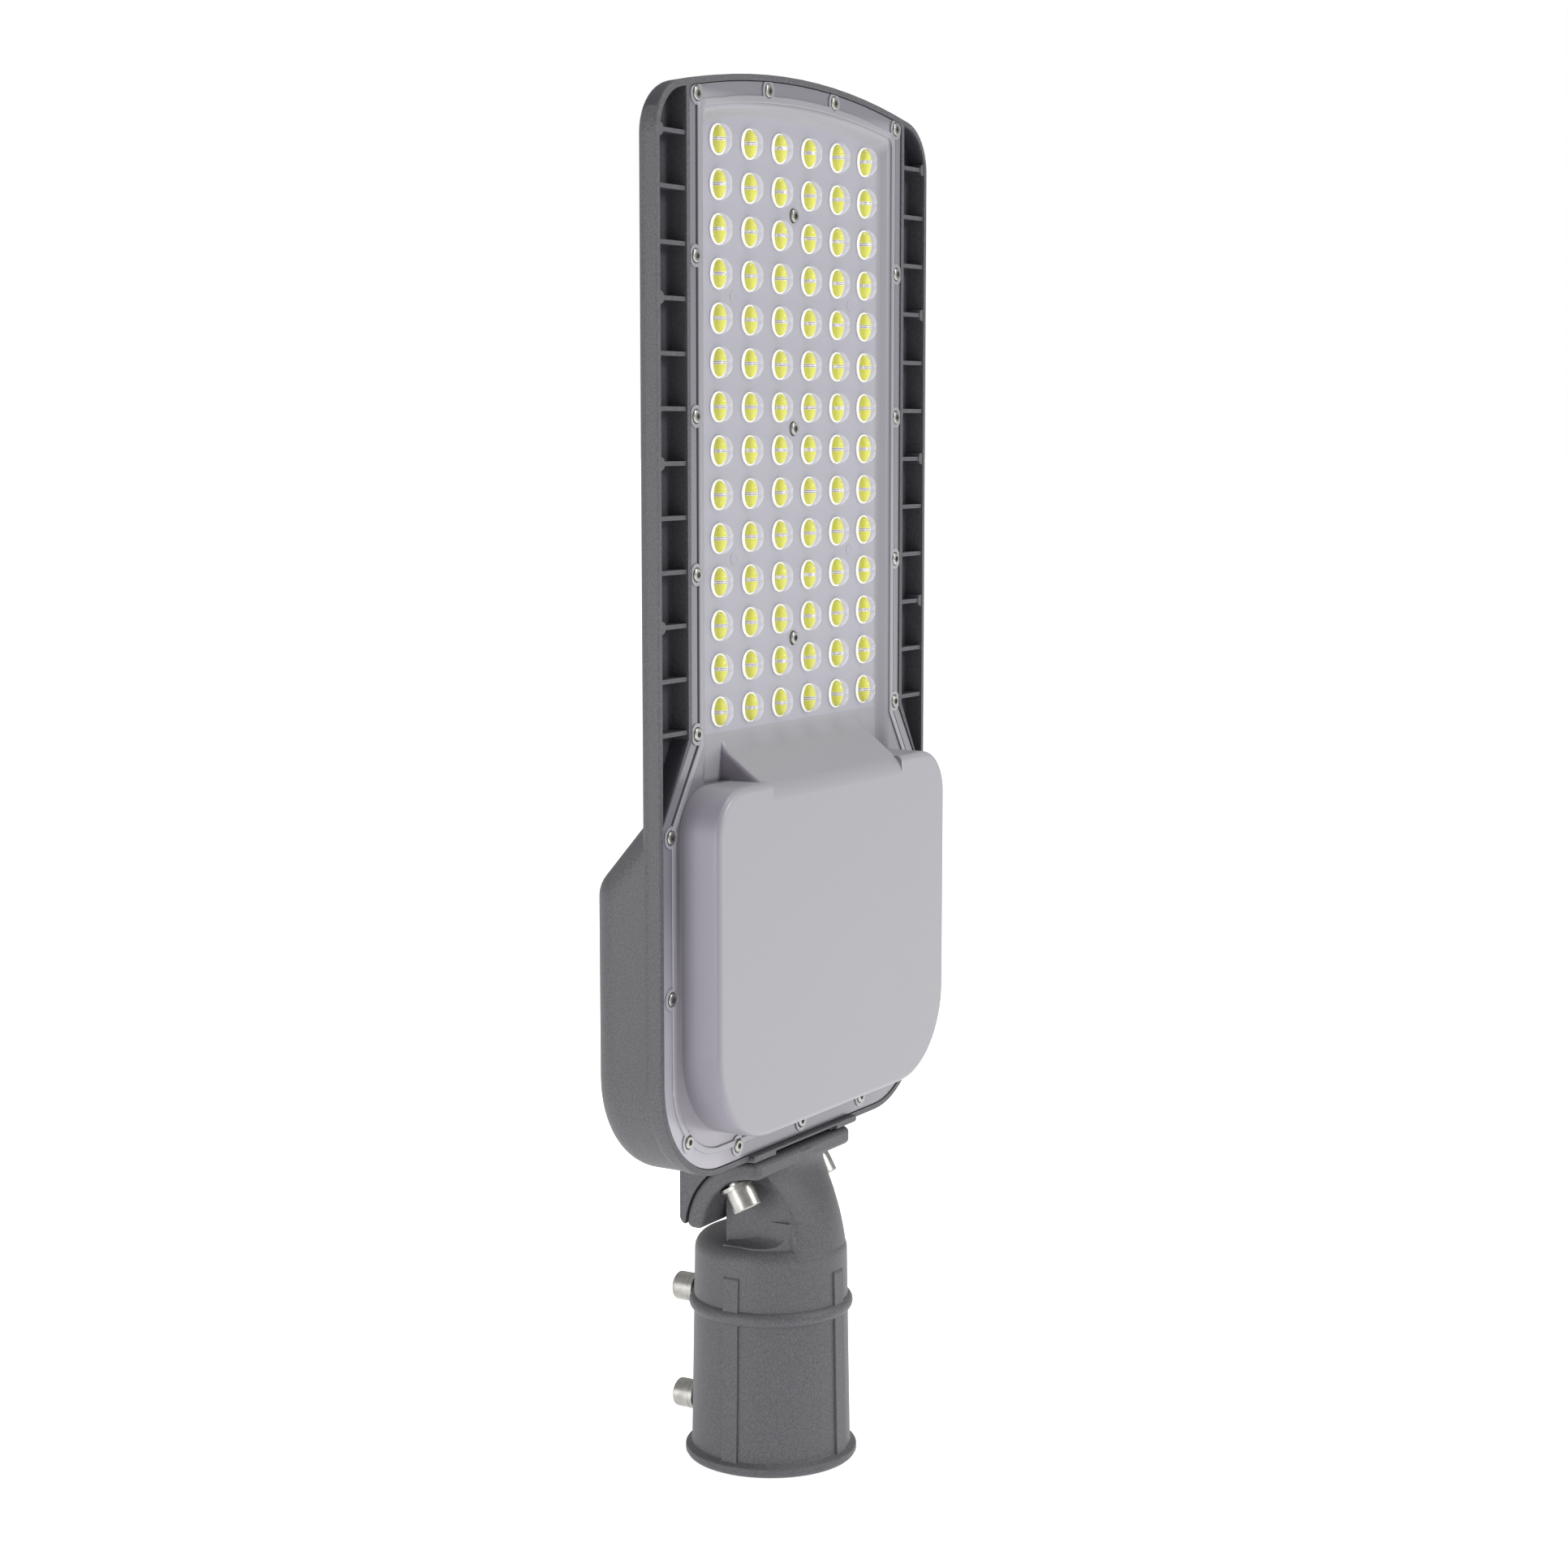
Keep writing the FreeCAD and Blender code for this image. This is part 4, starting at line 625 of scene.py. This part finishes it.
# ---------------------------------------------------------------- studio
def studio_floor():
    """Wide pale floor just under the foot of the socket."""
    floor = Finish("studio_floor", (0.9, 0.9, 0.9), IOR=1.4, Emission_Strength=FLOOR_GLOW)
    floor.shader.inputs["Emission Color"].default_value = (1.0, 1.0, 1.0, 1.0)
    drift = floor.noise(floor.place(), 3.0, 2.0)
    floor.wear(Base_Color=floor.mix(drift, colour(0.90, 0.90, 0.90), colour(0.93, 0.93, 0.93)), Roughness=0.9)
    mesh = bpy.data.meshes.new("studio_floor")
    points = [(FLOOR_R * math.cos(math.tau * step / 64), FLOOR_R * math.sin(math.tau * step / 64), FLOOR_Z)
              for step in range(64)]
    mesh.from_pydata(points, [], [tuple(range(64))])
    mesh.materials.append(floor.material)
    made = bpy.data.objects.new("studio_floor", mesh)
    bpy.context.scene.collection.objects.link(made)


def soft_box(name, place, aim, width, height, power):
    """Rectangular area light turned towards a point."""
    light = bpy.data.lights.new(name, "AREA")
    light.shape = "RECTANGLE"
    light.size = width
    light.size_y = height
    light.energy = power
    made = bpy.data.objects.new(name, light)
    made.location = place
    made.rotation_euler = (Vector(aim) - Vector(place)).to_track_quat("-Z", "Y").to_euler()
    bpy.context.scene.collection.objects.link(made)


def studio_light():
    """White tent behind the object, dimmer where it only lights it, with three soft boxes."""
    world = bpy.data.worlds.new("white_tent")
    world.use_nodes = True
    tree = world.node_tree
    tent = tree.nodes["Background"]
    tent.inputs["Color"].default_value = (1.0, 1.0, 1.0, 1.0)
    sight = tree.nodes.new("ShaderNodeLightPath")
    level = tree.nodes.new("ShaderNodeMapRange")
    level.inputs["To Min"].default_value = TENT_LIGHT
    level.inputs["To Max"].default_value = 1.0
    tree.links.new(sight.outputs["Is Camera Ray"], level.inputs["Value"])
    tree.links.new(level.outputs["Result"], tent.inputs["Strength"])
    bpy.context.scene.world = world
    bpy.context.scene.view_settings.view_transform = "Standard"
    soft_box("left_soft_box", (-1.7, 0.45, 0.35), (0, 0, 0.28), 0.7, 0.9, 13.0)
    soft_box("front_soft_box", (0.55, -1.9, 1.35), (0, 0, 0.35), 0.5, 0.7, 24.0)
    soft_box("top_soft_box", (0.1, -0.25, 2.3), (0, 0, 0.3), 0.6, 0.6, 14.0)


def camera():
    """Camera in front and to the left, near the middle of the object's height."""
    seen = bpy.data.cameras.new("front_left_camera")
    seen.lens = CAMERA_LENS
    seen.sensor_width = 36.0
    seen.clip_end = 200.0
    made = bpy.data.objects.new("front_left_camera", seen)
    made.location = CAMERA_PLACE
    made.rotation_euler = (math.radians(CAMERA_PITCH), 0.0, math.radians(CAMERA_TURN))
    bpy.context.scene.collection.objects.link(made)
    bpy.context.scene.camera = made


finishes = finish_parts()
build_optics(finishes)
studio_floor()
studio_light()
camera()
